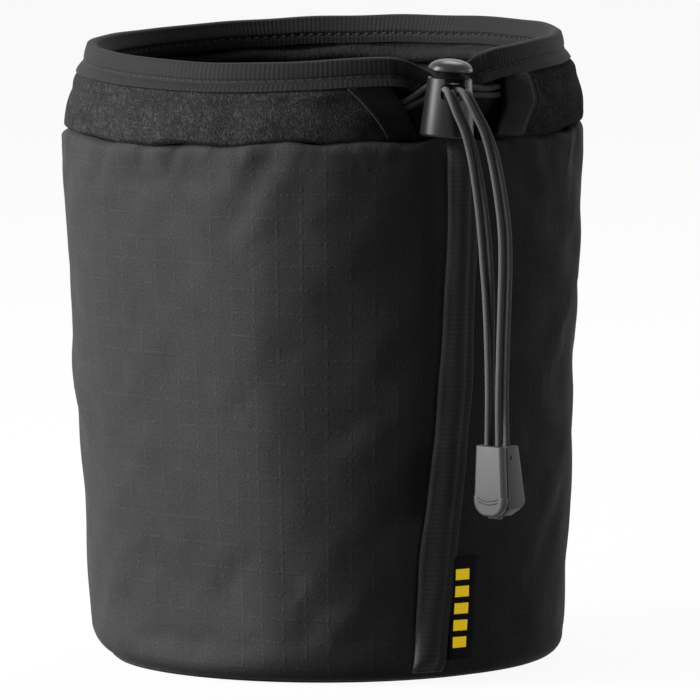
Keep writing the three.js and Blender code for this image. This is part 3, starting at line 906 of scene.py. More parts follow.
def rim_top(angle):
    turn = signed(np.asarray(angle, float) - RIM_DIP_ANGLE)
    dip = RIM_DIP * bell(turn, np.where(turn < 0, RIM_DIP_LEFT, RIM_DIP_RIGHT))
    return rim_height - RIM_TILT * np.cos(np.radians(angle - RIM_TILT_ANGLE)) - dip


def collar_top(angle):
    return rim_top(angle) - TAPE - FOLD_GAP


def collar_height(angle, level):
    """The height of a level on the collar: 0 at its seam, 1 at the rim tape's lower edge, 2 at its top."""
    low = rim_top(angle) - BINDING_FACE
    lower = mix(collar_foot, low, level)
    upper = mix(low, collar_top(angle), np.asarray(level, float) - 1)
    return np.where(np.asarray(level) <= 1, lower, upper)


def collar_radius(angle, z):
    share = np.clip((z - collar_foot) / (collar_top(angle) - collar_foot), 0, 1)
    inward = np.cos(math.pi * share**COLLAR_CURVE)
    return mix(collar_top_radius, collar_foot_radius, (1 + inward) / 2)


def facing_radius(angle, z):
    share = (z - facing_foot) / (collar_top(angle) - facing_foot)
    return mix(facing_foot_radius, facing_top_radius, share)


def notch_left(level):
    return mix(NOTCH_LEFT_FOOT, NOTCH_LEFT_TOP, np.minimum(level, 1))


def rim_cover(angle, z):
    """The cloth under the rim tape's outer face: the collar, or the facing where the notch leaves it bare."""
    degrees = signed(angle)
    left = NOTCH_LEFT_TOP + NOTCH_MARGIN
    right = NOTCH_RIGHT_TOP - NOTCH_MARGIN
    opened = smooth(degrees, left, left + NOTCH_EASE) * (1 - smooth(degrees, right - NOTCH_EASE, right))
    return mix(collar_radius(angle, z), facing_radius(angle, z), opened)


def seam_angle(z):
    return SEAM_TAPE_ANGLE + SEAM_TAPE_SWEEP * np.sin(SEAM_TAPE_BEND * np.asarray(z, float) / SEAM_HEIGHT)


# Drawcord

lock_lean = math.radians(LOCK_LEAN)
lock_turn = spin(LOCK_TURN) @ np.array([
    [math.cos(lock_lean), 0, math.sin(lock_lean)],
    [0, 1, 0],
    [-math.sin(lock_lean), 0, math.cos(lock_lean)],
])
lock_height = SEAM_HEIGHT + LOCK_SEAT + BARREL_HEIGHT - HOLE_DEPTH
lock_origin = polar(LOCK_ANGLE, SEAM_RADIUS + LOCK_STAND, lock_height)


def in_lock(x, y, z):
    return lock_origin + lock_turn @ np.array([x, y, z], float)


# Where each strand leaves the ring and the channel, and how far it lies from the channel's middle
STRANDS = {
    "left_upper": (RING_END, FEED_MOUTH_LEFT, RING_SPREAD / 2),
    "left_lower": (RING_END, FEED_MOUTH_LEFT, -RING_SPREAD / 2),
    "right_lower": (RING_START, FEED_MOUTH_RIGHT, -RING_SPREAD / 2),
    "right_upper": (RING_START, FEED_MOUTH_RIGHT, RING_SPREAD / 2),
}
# The strands lie side by side in the lock: the outer ones are this many pitches from its middle
OUTER_SLOT = 1.5
CORD_SIDES = 14
# How far the channel rises to its right mouth, and over what angle
MOUTH_LIFT_RIGHT = 2.9
MOUTH_LIFT_REACH = 12
# How much of its distance from the channel's middle a strand keeps halfway to the mouth, and at the mouth
FEED_SPREAD_HALFWAY = 0.9
FEED_SPREAD_MOUTH = 0.8
# How much of its way across, forward and up a strand has gone where it bends inside the lock
FEED_BEND = (0.8, 0.7, 0.6)
# Where each strand leaves the lock's front, across and up: the two of a pair lie partly one over the other
LEAVING = [(-2.7, -0.1), (-2.0, -1.7), (1.3, -0.1), (2.0, -1.7)]
LEAVING_STEP = 0.1
# How the hanging strands lie as seen from the front, at each point of the tail's route: how far all four
# lie to the right, and how far the second strand of the left and of the right pair lies beside the first
TAIL_LAY = [
    (-0.3, 1.2, 1.2), (-0.5, 1.2, 1.2), (-0.8, 1.25, 1.2), (0.1, 1.3, 1.4), (0.7, 1.6, 1.8), (0.9, 1.9, 2.0),
    (0.9, 2.0, 2.1), (0.85, 2.0, 2.1), (0.8, 1.7, 2.1), (0.7, 1.1, 2.0), (0.7, 0.95, 2.0),
]
# Where the strands enter the cord end, across it and back from its parting face
END_LAY = [(-2.75, 0.8), (-2.1, 2.5), (0.9, 1.2), (2.8, 2.3)]
# From one strand of a pair to the other, and the least that one lies behind the other
STRAND_APART = 1.85
STRAND_BEHIND = 0.35

tail_start = in_lock(0, -EXIT_REACH - GAP, 0)
end_turn = spin(END_TURN)
end_origin = tail_start + np.array(TAIL_ROUTE[-1][:3])


def ring_point(angle, rise):
    near_mouth = bell(signed(np.asarray(angle, float) - RING_START), MOUTH_LIFT_REACH)
    z = channel_height + rise + MOUTH_LIFT_RIGHT * near_mouth
    return polar(angle, facing_radius(angle, z) + GAP + strand_half, z)


def feed_path(start, mouth, rise, slot, leave):
    """From the ring through the channel's mouth and the lock to the lock's front."""
    lift = MOUTH_LIFT_RIGHT if mouth > 0 else 0
    side = math.copysign(1, mouth - start)
    first = start + math.degrees(side * GAP / (facing_top_radius + STRAND))
    z = channel_height + FEED_SPREAD_MOUTH * rise + lift
    drop = FEED_DROP if rise < 0 else 0
    across, forward, up = FEED_BEND
    return catmull([
        ring_point(first, rise),
        ring_point(mix(start, mouth, 0.5), FEED_SPREAD_HALFWAY * rise),
        polar(mouth, facing_radius(mouth, z) + GAP + strand_half + FEED_MOUTH_STAND, z),
        in_lock(slot, BARREL_FOOT_RADIUS + FEED_APPROACH, -drop),
        in_lock(slot, BARREL_TOP_RADIUS, 0),
        in_lock(slot, 0, 0),
        in_lock(mix(slot, leave[0], across), -forward * EXIT_REACH, up * leave[1]),
        in_lock(leave[0], -EXIT_REACH, leave[1]),
    ], count=60)


def tail_path(k):
    """From the lock's front down to the cord end's knot, for one of the four strands."""
    pair = (-0.5, 0.5)[k // 2]
    second = k % 2 - 0.5
    right = np.array(view_right)
    back = np.array([-view_right.y, view_right.x, 0])
    across, up = LEAVING[k]
    points = [in_lock(across, -EXIT_REACH - LEAVING_STEP, up)]
    for i, ((x, y, z, pair_gap), lay) in enumerate(zip(TAIL_ROUTE, TAIL_LAY)):
        row = spin(mix(LOCK_TURN, END_TURN, (i + 1) / len(TAIL_ROUTE)))[:, 0]
        beside = lay[1 + k // 2]
        behind = math.sqrt(max(STRAND_APART**2 - beside**2, STRAND_BEHIND**2))
        aside = lay[0] * right + pair * pair_gap * row + second * (beside * right + behind * back)
        points.append(tail_start + [x, y, z] + aside)
    points.append(end_origin + end_turn @ [*END_LAY[k], 0])
    points.append(points[-1] - [0, 0, END_THROAT])
    return catmull(points, count=150)


def make_cords():
    tails = []
    for k, (name, (start, mouth, rise)) in enumerate(STRANDS.items()):
        slot = (k - OUTER_SLOT) * STRAND_PITCH
        path = feed_path(start, mouth, rise, slot, LEAVING[k])
        feed = tube("feed_" + name, path, STRAND, CORD_SIDES)
        dress(feed, BRAID, nodes=["drawcord_feed_" + name])
        begin = polar(mouth, facing_radius(mouth, channel_height) + FEED_MOUTH_STAND, channel_height)
        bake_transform(feed)
        path = tail_path(k)
        tail = tube("tail_" + name, path, STRAND, CORD_SIDES)
        dress(tail, BRAID, nodes=["drawcord_tail_" + name])
        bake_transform(tail)
        tails.append((tail, path))
    angles = np.linspace(RING_START, RING_END + 360, num=240)
    for rise, name in ((-RING_SPREAD / 2, "lower"), (RING_SPREAD / 2, "upper")):
        ring = tube("ring_" + name, ring_point(angles, rise), STRAND, sides=10)
        dress(ring, BRAID, "pouch", ["drawcord_ring_" + name])
    return tails


tails = make_cords()


# Body wall

swell_wide = waves(seed=11, count=14, low=3, high=9)
swell_fine = waves(seed=12, count=24, low=9, high=26)
SWELL_WIDE = 0.35
SWELL_FINE = 0.16
# The wall's swelling fades out below this height
FOOT_EASE = 12

# Folds in the wall, as from and to (angle, height), with width and depth; a negative depth stands out
FOLDS = [
    ((-38, 153.5), (-49, 126), 4.5, 1.1),
    ((-43, 153), (-55, 128), 6, -0.6),
    ((-61.6, 155), (-63.5, 147), 2.2, 1.1),
    ((-83, 155), (-87, 142), 3, 0.8),
    ((-71.5, 155), (-72.5, 149), 2, 0.8),
    ((-30, 154), (-33, 132), 4, 0.5),
    ((-96, 20), (-60, 9), 7, 0.7),
    ((-75, 30), (-48, 22), 9, 0.5),
    ((30, 152), (38, 120), 5, 0.6),
    ((48, 152), (44, 130), 4, 0.7),
]
# How much of its depth a fold has lost at its far end
FOLD_FADE = 0.75

# Gathers at the wall's seams: count, depth, least and most width, least and most reach from the seam
PUCKERS = [(46, 0.6, 2, 5, 5, 14), (110, 0.5, 1, 2.4, 2, 5)]
PUCKER_SEED = 7
PUCKER_SLANT = 0.5
# The same gathers above the base: how deep, how wide and how far aside against those under the top seam
FOOT_PUCKER_DEPTH = 0.5
FOOT_PUCKER_SQUEEZE = 0.9
FOOT_PUCKER_WIDEN = 1.3
FOOT_PUCKER_ASIDE = 4

# How far the wall's face is turned from a true round, in degrees, at angles round the pouch: it lies nearly
# flat on one side and turns more sharply at a soft ridge
FACE_TURN = [(-92, 0), (-84, 13), (-65, 0), (-49, -13), (-43, -13), (-38, 0), (-34, 2), (-14, 2), (-8, 0)]
FACE_SHARE = 0.85
FACE_STEP = 0.25
# The turned face fades in above the base, and loses a share below the top seam
FACE_FOOT = (-2, 10)
FACE_TOP_EASE = 12
FACE_TOP_LOSS = 0.5
# The hollow along the seam tape's left edge, and where it starts above the base
SEAM_HOLLOW = [(-2.0, -SEAM_TAPE_WIDTH / 2 - 1.4, 4.2)]
SEAM_HOLLOW_FOOT = (4, 20)
# A slack place on the wall's right
SLACK = 1.1
SLACK_ANGLE = 62
SLACK_WIDTH = 32
SLACK_HEIGHT = 112
SLACK_REACH = 38


def fold_depth(angle, z):
    total = 0
    for (a0, z0), (a1, z1), width, depth in FOLDS:
        across = around(angle, a0)
        end = math.radians(a1 - a0) * SEAM_RADIUS
        t = np.clip((across * end + (z - z0) * (z1 - z0)) / (end**2 + (z1 - z0) ** 2), 0, 1)
        distance = np.hypot(across - t * end, z - mix(z0, z1, t))
        total = total - depth * bell(distance, width) * (1 - FOLD_FADE * t)
    return total


def pucker_depth(angle, z):
    """Short gathers under the top seam, and slighter ones above the base."""
    rng = np.random.default_rng(PUCKER_SEED)
    below = np.clip(SEAM_HEIGHT - z, 0, None)
    above = np.clip(z, 0, None)
    total = 0
    for count, deepest, thin, wide, near, far in PUCKERS:
        for _ in range(count):
            centre = rng.uniform(-180, 180)
            slant = rng.uniform(-PUCKER_SLANT, PUCKER_SLANT)
            depth = rng.uniform(-deepest, deepest)
            width = rng.uniform(thin, wide)
            reach = rng.uniform(near, far)
            across = around(angle, centre) + slant * (SEAM_HEIGHT - z)
            total = total + depth * bell(across, width) * np.exp(-below / reach)
            aside = across * FOOT_PUCKER_SQUEEZE + FOOT_PUCKER_ASIDE
            lower = FOOT_PUCKER_DEPTH * depth * bell(aside, width * FOOT_PUCKER_WIDEN)
            total = total + lower * np.exp(-above / reach)
    return total


def face_offsets():
    """How far the turned face lies out from the true round, at angles round the pouch."""
    angle = np.arange(-180, 180 + FACE_STEP, FACE_STEP)
    turn = np.interp(angle, *zip(*FACE_TURN)) * FACE_SHARE
    offset = np.cumsum(-np.tan(np.radians(turn)) * SEAM_RADIUS * math.radians(FACE_STEP))
    return angle, offset - np.linspace(0, offset[-1], len(offset))


face_angle, face_offset = face_offsets()


def panel_form(angle, z):
    """The wall lies flatter between its soft ridges, and dips beside the seam tape."""
    flat = np.interp(signed(angle), face_angle, face_offset) * smooth(z, *FACE_FOOT)
    flat = flat * (1 - FACE_TOP_LOSS * smooth(z, SEAM_HEIGHT - FACE_TOP_EASE, SEAM_HEIGHT))
    dip = bumps(around(angle, seam_angle(z)), SEAM_HOLLOW) * smooth(z, *SEAM_HOLLOW_FOOT)
    slack = SLACK * bell(signed(angle - SLACK_ANGLE), SLACK_WIDTH) * bell(z - SLACK_HEIGHT, SLACK_REACH)
    return flat + dip - slack


def plain_swell(angle, z):
    """How far the sewn wall stands out from its plain form before the cloth settles, in millimetres."""
    loose = SWELL_WIDE * swell_wide(angle, z) + SWELL_FINE * swell_fine(angle, z)
    total = loose + fold_depth(angle, z) + pucker_depth(angle, z) + panel_form(angle, z)
    return total * smooth(z, WALL_FOOT, FOOT_EASE)


DRAPE_ROUND = 168
DRAPE_ROWS = 54
DRAPE_HEIGHTS = np.linspace(round_top, shoulder, DRAPE_ROWS)
DRAPE_FRAMES = 20
# The most that the settled cloth may move, and the share of it that the wall takes
DRAPE_CAP = 1.6
DRAPE_SHARE = 0.38
# The tape keeps the cloth stiff beside the seam: how far to the right its middle lies, and its reach
STIFF_ASIDE = 2
STIFF_REACH = 20
CLOTH = {
    "vertex_group_mass": "sewn",
    "quality": 6,
    "mass": 0.15,
    "tension_stiffness": 20,
    "compression_stiffness": 20,
    "shear_stiffness": 8,
    "bending_stiffness": 0.6,
    "shrink_min": -0.008,
    "use_pressure": True,
    "uniform_pressure_force": 4,
}
settled = np.zeros((DRAPE_ROUND, DRAPE_ROWS))


def drape():
    """Lets the wall's cloth settle over its padding: held along both seams, slightly too wide, and pressed
    from inside. What it moves in or out is kept as a grid of distances."""
    a, z = lattice(all_round(DRAPE_ROUND), DRAPE_HEIGHTS)
    start = polar(a, wall_line(z) + plain_swell(a, z), z)
    r, c = lattice(np.arange(DRAPE_ROUND) * DRAPE_ROWS, np.arange(DRAPE_ROWS - 1))
    n = (r + DRAPE_ROWS) % (DRAPE_ROUND * DRAPE_ROWS)
    faces = np.stack([r + c, n + c, n + c + 1, r + c + 1], -1).reshape(-1, 4)
    mesh = bpy.data.meshes.new("drape")
    mesh.from_pydata((start.reshape(-1, 3) * MM).tolist(), [], faces.tolist())
    cloth = add_object("drape", mesh)
    row = np.arange(DRAPE_ROUND * DRAPE_ROWS) % DRAPE_ROWS
    held = np.nonzero((row == 0) | (row == DRAPE_ROWS - 1))[0]
    cloth.vertex_groups.new(name="sewn").add(held.tolist(), 1.0, "REPLACE")
    sim = cloth.modifiers.new("cloth", "CLOTH")
    for name, value in CLOTH.items():
        setattr(sim.settings, name, value)
    sim.settings.effector_weights.gravity = 0
    sim.collision_settings.use_collision = False
    sim.collision_settings.use_self_collision = False
    sim.point_cache.frame_start = 1
    sim.point_cache.frame_end = DRAPE_FRAMES
    for number in range(1, DRAPE_FRAMES + 1):
        scene.frame_set(number)
    made = cloth.evaluated_get(bpy.context.evaluated_depsgraph_get()).data
    moved = np.empty(len(made.vertices) * 3, np.float32)
    made.vertices.foreach_get("co", moved)
    moved = moved.reshape(DRAPE_ROUND, DRAPE_ROWS, 3).astype(float) / MM
    out = np.hypot(moved[..., 0], moved[..., 1]) - np.hypot(start[..., 0], start[..., 1])
    scene.frame_set(1)
    bpy.data.objects.remove(cloth)
    settled[:] = np.clip(out - out.mean(), -DRAPE_CAP, DRAPE_CAP)


def drape_offset(angle, z):
    """How far the settled cloth lies in or out, read from the grid."""
    low, high = DRAPE_HEIGHTS[[0, -1]]
    u = np.asarray(angle, float) % 360 / 360 * DRAPE_ROUND
    v = np.clip((z - low) / (high - low), 0, 1) * (DRAPE_ROWS - 1)
    i = np.floor(u).astype(int) % DRAPE_ROUND
    j = np.minimum(np.floor(v).astype(int), DRAPE_ROWS - 2)
    n = (i + 1) % DRAPE_ROUND
    beside = smooth(u - np.floor(u), 0, 1)
    lower = mix(settled[i, j], settled[n, j], beside)
    upper = mix(settled[i, j + 1], settled[n, j + 1], beside)
    return mix(lower, upper, smooth(v - j, 0, 1))


drape()


def swell(angle, z):
    """How far the finished wall stands out from its plain form, in millimetres."""
    angle, z = np.broadcast_arrays(np.asarray(angle, float), np.asarray(z, float))
    stiff = bell(around(angle, seam_angle(z)) - STIFF_ASIDE, STIFF_REACH)
    share = DRAPE_SHARE * (1 - stiff) * smooth(z, WALL_FOOT, FOOT_EASE)
    return plain_swell(angle, z) + share * drape_offset(angle, z)


# How far the pouch leans to the right of the view at its foot and at its seam
LEAN = np.array(view_right)
LEAN_FOOT = 1.1
LEAN_TOP = 0.1
# How far the seam is tilted up to the right, and from what height; the rim's far left end isn't
TILT = 1.1
TILT_FROM = 40
LEVEL_ACROSS = (0.55, 0.95)
LEVEL_HEIGHT = (SEAM_HEIGHT + 5, SEAM_HEIGHT + 20)
# Where the rim sags
RIM_SAG = 0.8
RIM_SAG_ANGLE = -47
RIM_SAG_WIDTH = 22
RIM_SAG_HEIGHT = (SEAM_HEIGHT + 5, SEAM_HEIGHT + 18)
# Where the seam under the collar hangs lower or rides higher than its plain level: angle, width, drop
SEAM_DROPS = [(-78, 13, 1.2), (-47, 9, 0.7), (-34, 5, -0.8), (30, 14, 1.2)]
SEAM_DROP_REACH = 12


def lean(points):
    """The soft pouch leans a little across the view, and its seam and rim are tilted."""
    z = points[..., 2]
    across = points @ LEAN / SEAM_RADIUS
    moved = points + mix(LEAN_FOOT, LEAN_TOP, np.clip(z / SEAM_HEIGHT, 0, 1))[..., None] * LEAN
    tilted = 1 - smooth(-across, *LEVEL_ACROSS) * smooth(z, *LEVEL_HEIGHT)
    moved[..., 2] += TILT * across * smooth(z, TILT_FROM, SEAM_HEIGHT) * tilted
    angle = np.degrees(np.arctan2(points[..., 0], -points[..., 1]))
    for middle, width, drop in SEAM_DROPS:
        moved[..., 2] -= drop * bell(signed(angle - middle), width) * bell(z - SEAM_HEIGHT, SEAM_DROP_REACH)
    sag = RIM_SAG * bell(signed(angle - RIM_SAG_ANGLE), RIM_SAG_WIDTH)
    moved[..., 2] -= sag * smooth(z, *RIM_SAG_HEIGHT)
    return moved


def on_wall(angle, z, stand=0.0):
    """A point on the finished wall, or a distance out from it."""
    radius = wall_radius(z, edge_round(angle)) + swell(angle, z) + stand
    return lean(polar(angle, radius, z))


WALL_STEPS = 480
FOOT_STEPS = 12
# The squares of the cloth's grid round the pouch, and their height
RIPSTOP_ROUND = 68
RIPSTOP_PITCH = 6.85
# How much the seam's edge wavers
SEAM_WAVER = 0.7


def make_wall():
    turn = np.radians(np.linspace(-90, 0, FOOT_STEPS))
    share = np.linspace(0, 1, num=112)[1:-1]
    height = mix(round_top, shoulder, share)
    side = np.stack([wall_line(height), height], 1)
    foot = arc(round_centre, round_top, EDGE_ROUND, -90, 0, FOOT_STEPS)
    top = arc(shoulder_centre, shoulder, TOP_ROUND, 0, 90, count=8)
    down = np.linspace(layer_top, lining_foot, num=14)
    inner = np.stack([wall_line(down) - padding_inner, down], 1)
    under = [[round_centre, base_padding_top], [round_centre, WALL_FOOT + SHELL]]
    section = np.vstack([foot, side, top, inner, under])
    angle = all_round(WALL_STEPS)
    a, j = lattice(angle, np.arange(len(section)))
    r = section[j, 0]
    z = section[j, 1]
    # The foot's rounding changes round the pouch, and the side above it with that
    rounding = edge_round(angle)[:, None]
    foot_end = len(foot)
    side_end = foot_end + len(side)
    z[:, :foot_end] = WALL_FOOT + rounding * (1 + np.sin(turn))
    r[:, :foot_end] = wall_line(WALL_FOOT + rounding) - rounding * (1 - np.cos(turn))
    z[:, foot_end:side_end] = mix(WALL_FOOT + rounding, shoulder, share)
    r[:, foot_end:side_end] = wall_line(z[:, foot_end:side_end])
    outside = j < side_end + len(top)
    out = np.where(outside, swell(a, z), 0)
    z = z + smooth(z, shoulder, SEAM_HEIGHT) * outside * SEAM_WAVER * swell_fine(a)
    points = lean(polar(a, r + out, z))
    u = np.arange(WALL_STEPS + 1) * RIPSTOP_ROUND / WALL_STEPS
    v = distances(np.vstack([section, section[:1]])) / RIPSTOP_PITCH
    wall = grid("padded_wall", points, np.stack(np.broadcast_arrays(u[:, None], v), 2))
    dress(wall, RIPSTOP, "pouch", ["outer_wall", "wall_padding"])


BASE_STEPS = 96
BASE_RINGS = (0.3, 0.6, 0.85)
# The base's rounded edge: how far in and up it starts, and how far it lifts off the floor
BASE_EDGE = 1
BASE_EDGE_RISE = 0.8
BASE_EDGE_LIFT = 0.05


def make_base():
    radius = round_centre - GAP
    top = base_padding_top
    profile = [
        (0, 0), *[(radius * share, 0) for share in BASE_RINGS], (radius - BASE_EDGE, BASE_EDGE_LIFT),
        (radius, BASE_EDGE_RISE), (radius, top - BASE_EDGE_RISE), (radius - BASE_EDGE, top), (0, top),
    ]
    base = lathe("padded_base", profile, BASE_STEPS)
    layer = base.data.uv_layers.new(name=CLOTH_MAP)
    for loop in base.data.loops:
        at = base.data.vertices[loop.vertex_index].co
        layer.uv[loop.index].vector = (at.x / MM / RIPSTOP_PITCH, at.y / MM / RIPSTOP_PITCH)
    dress(base, RIPSTOP, "pouch", ["base_outer", "base_padding"])


make_wall()
make_base()


# Collar: a level on it is 0 at its seam and 1 at the rim tape's lower edge

collar_wide = waves(seed=21, count=12, low=4, high=12)
collar_fine = waves(seed=22, count=16, low=14, high=34)
COLLAR_WIDE = 0.4
COLLAR_FINE = 0.22
# Millimetres of the waves' height per level
COLLAR_WAVE_RISE = 20
# Levels between which the rim tape takes hold of the cloth
RIM_HOLD = (0.8, 1.05)
# The collar tucks in at its seam and swells under the rim: height, level, width in levels
COLLAR_TUCKS = [(-2.0, 0, 0.05), (1.2, 0.9, 0.14)]
# Its foot wavers and sinks up to this level
COLLAR_FOOT_WAVER = 0.35
COLLAR_FOOT_SINK = 0.7
COLLAR_FOOT_LEVEL = 0.4
COLLAR_TOP_LEVEL = 1.6
# The shares of the collar's length that are made finer, at the flap and at the notch's left edge
FLAP_SHARE = 0.03
NOTCH_SHARE = 0.96

# The flap on the notch's right: the angle of its edge at the seam, the angle it comes to, and the level there
FLAP_FOOT = 13.8
FLAP_TOP = 20.2
FLAP_LEVEL = 0.7
# How far its edge turns in, over what width, and the levels where it becomes free and is held again
FLAP_ROLL = 2.4
FLAP_ROLL_WIDTH = 2.6
FLAP_FREE = (0.05, 0.4)
FLAP_HELD = (0.98, 1.1)
# From the flap's edge to its hem's stitches: the hem is thicker up to them, with a groove and a ridge there
HEM_WIDTH = 8.6
HEM_STEP = 0.9
HEM_STEP_EASE = (-0.4, 0.6)
HEM_RIDGES = [(-0.7, 0, 0.7), (0.7, 1.6, 1.4)]
# How far the cloth sinks towards the notch's left edge, over what width, and how much less at the rim
NOTCH_SINK = 3.2
NOTCH_SINK_REACH = 11
NOTCH_SINK_FADE = 0.6


def notch_right(level):
    return mix(FLAP_FOOT, FLAP_TOP, smooth(level, 0, FLAP_LEVEL))


def notch_sink(level, width):
    free = 1 - smooth(level, *RIM_HOLD)
    return -NOTCH_SINK * bell(width, NOTCH_SINK_REACH) * free * (1 - NOTCH_SINK_FADE * level)


def collar_angle(t, level):
    """The angle of a share of the collar's length, from the flap round to the notch's left edge."""
    return mix(notch_right(level), notch_left(level) + 360, t)


def collar_swell(angle, level):
    """How far the collar stands out from its plain form."""
    left = np.radians(notch_left(level) + 360 - angle) * collar_top_radius
    right = np.radians(angle - notch_right(level)) * collar_top_radius
    rise = COLLAR_WAVE_RISE * level
    loose = COLLAR_WIDE * collar_wide(angle, rise) + COLLAR_FINE * collar_fine(angle, rise)
    loose = loose * (1 - smooth(level, *RIM_HOLD))
    beyond = right - HEM_WIDTH
    edge = -FLAP_ROLL * np.exp(-np.clip(right, 0, None) / FLAP_ROLL_WIDTH)
    hem = HEM_STEP * (1 - smooth(beyond, *HEM_STEP_EASE)) + bumps(beyond, HEM_RIDGES)
    flap = (hem + edge) * smooth(level, *FLAP_FREE) * (1 - smooth(level, *FLAP_HELD))
    return loose + bumps(level, COLLAR_TUCKS) + notch_sink(level, left) + flap


def on_collar(t, level, stand=0.0):
    angle = collar_angle(t, level)
    z = collar_height(angle, level)
    foot = COLLAR_FOOT_WAVER * collar_fine(angle) - COLLAR_FOOT_SINK
    radius = collar_radius(angle, z) + collar_swell(angle, level) + stand
    return lean(polar(angle, radius, z + foot * (1 - smooth(level, 0, COLLAR_FOOT_LEVEL))))


def make_collar():
    levels = np.concatenate([
        np.linspace(0, 1, num=34),
        np.linspace(1, COLLAR_TOP_LEVEL, num=6)[1:],
    ])
    t = np.concatenate([
        np.linspace(0, FLAP_SHARE, num=30),
        np.linspace(FLAP_SHARE, NOTCH_SHARE, num=640)[1:-1],
        np.linspace(NOTCH_SHARE, 1, num=40),
    ])
    tt, ll = lattice(t, levels)
    run = np.radians(collar_angle(t, 0.5)) * SEAM_RADIUS
    collar = strip("collar", on_collar(tt, ll), on_collar(tt, ll, -COLLAR), run)
    return dress(collar, PILE, "pouch", ["collar_outer"])


collar = make_collar()


# Inside: the facing with its rolled lip, the wall's lining and the lining of the base

roll_noise = waves(seed=31, count=14, low=3, high=14)
lump_noise = waves(seed=32, count=22, low=10, high=40)
# Millimetres of the linings' map per degree
LINING_MAP = 1.2
# Where the facing ends under the rim tape, and how far down from the tape its inner face is shaped
FACING_TOP = 2.6
FACING_REACH = 16
# The rolled lip: how far in it stands, its middle below the tape, half its height, and how much it wavers
ROLL = 3.2
ROLL_MIDDLE = 2.3
ROLL_HALF = 2.2
ROLL_WAVER = 0.6
# The lumps under the lip: their plain height, their unevenness, the most, and where they start and end
LUMP = 1.2
LUMP_UNEVEN = 0.7
LUMP_MOST = 3
LUMP_START = (5, 8)
LUMP_END = (11, 15)
# How uneven the lining's inner face is, how far in it lies, and how far in and out that may take it
LINING_UNEVEN = 0.35
LINING_STAND = 0.2
LINING_RANGE = (-0.8, 0.2)
# Rounding of the base lining's edge below and above, and its rise at shares of its radius
BASE_LINING_EDGE = 0.4
BASE_LINING_TOP_EDGE = 0.3
BASE_LINING_RISE = [(0.8, 0.15), (0.4, 0.1), (0, 0.1)]


def lining_cloth(name, angle, faces, node):
    """A ring of lining through the faces' points."""
    points = lean(np.concatenate(faces, 1))
    cloth = grid(name, points, section_uv(points, np.append(angle, 360) * LINING_MAP))
    return dress(cloth, BRUSHED, "pouch", [node])


def make_facing():
    angle = all_round(count=360)
    upper = np.linspace(FACING_TOP, BINDING_FACE, num=6)
    lower = np.linspace(BINDING_FACE, BINDING_FACE + FACING_REACH, num=40)
    a, drop = lattice(angle, np.concatenate([upper, lower[1:]]))
    z = np.maximum(collar_top(a) - drop, facing_foot)
    below = drop - BINDING_FACE + ROLL_WAVER * roll_noise(a)
    roll = ROLL * np.sqrt(np.clip(1 - ((below - ROLL_MIDDLE) / ROLL_HALF) ** 2, 0, 1))
    lumps = LUMP + LUMP_UNEVEN * lump_noise(a, z)
    lumps = np.clip(lumps * smooth(below, *LUMP_START) * (1 - smooth(below, *LUMP_END)), 0, LUMP_MOST)
    inside = polar(a, facing_radius(a, z) - FACING - roll - lumps, z)
    a, share = lattice(angle, np.linspace(0, 1, num=8))
    z = mix(facing_foot, collar_top(a) - FACING_TOP, share)
    outside = polar(a, facing_radius(a, z), z)
    return lining_cloth("collar_facing_cloth", angle, [outside, inside], "collar_facing")


def make_lining():
    angle = all_round(count=240)
    a, z = lattice(angle, np.linspace(lining_foot, layer_top, num=70))
    soft = np.clip(LINING_UNEVEN * roll_noise(a, z), *LINING_RANGE)
    outside = polar(a, wall_line(z) - lining_outer, z)
    inside = polar(a, wall_line(z) - lining_inner - LINING_STAND + soft, z)
    return lining_cloth("wall_lining_cloth", angle, [outside, inside[:, ::-1]], "wall_lining")


def make_base_lining():
    radius = base_lining_radius
    top = lining_foot + LINING
    profile = [
        (0, lining_foot), (radius - BASE_LINING_EDGE, lining_foot), (radius, lining_foot + BASE_LINING_EDGE),
        (radius - BASE_LINING_TOP_EDGE, top),
        *[(radius * share, top + rise) for share, rise in BASE_LINING_RISE],
    ]
    lining = lathe("base_lining_cloth", profile, BASE_STEPS)
    return dress(lining, BRUSHED, "pouch", ["base_lining"])


facing = make_facing()
wall_cloth = make_lining()
base_cloth = make_base_lining()


# Stitches: short threads that dip into the cloth at their ends

STITCH_SIDES = 6
# Rings along a stitch, as shares of its length, with their lift and thickness as shares of the thread's
STITCH_RINGS = np.array([-0.5, -0.38, -0.15, 0.15, 0.38, 0.5])
STITCH_LIFT = np.array([-0.5, 0.35, 0.75, 0.75, 0.35, -0.5]) * 0.6
STITCH_THICK = np.array([0.6, 1, 1, 1, 1, 0.6])
# How far to both sides of a stitch its direction is taken
STITCH_AIM = 0.2


def stitch_faces():
    faces = []
    for low in range(0, (len(STITCH_RINGS) - 1) * STITCH_SIDES, STITCH_SIDES):
        high = low + STITCH_SIDES
        for k in range(STITCH_SIDES):
            n = (k + 1) % STITCH_SIDES
            faces.append([low + k, low + n, high + n, high + k])
    faces.append(list(range(STITCH_SIDES)))
    faces.append([high + k for k in reversed(range(STITCH_SIDES))])
    return faces


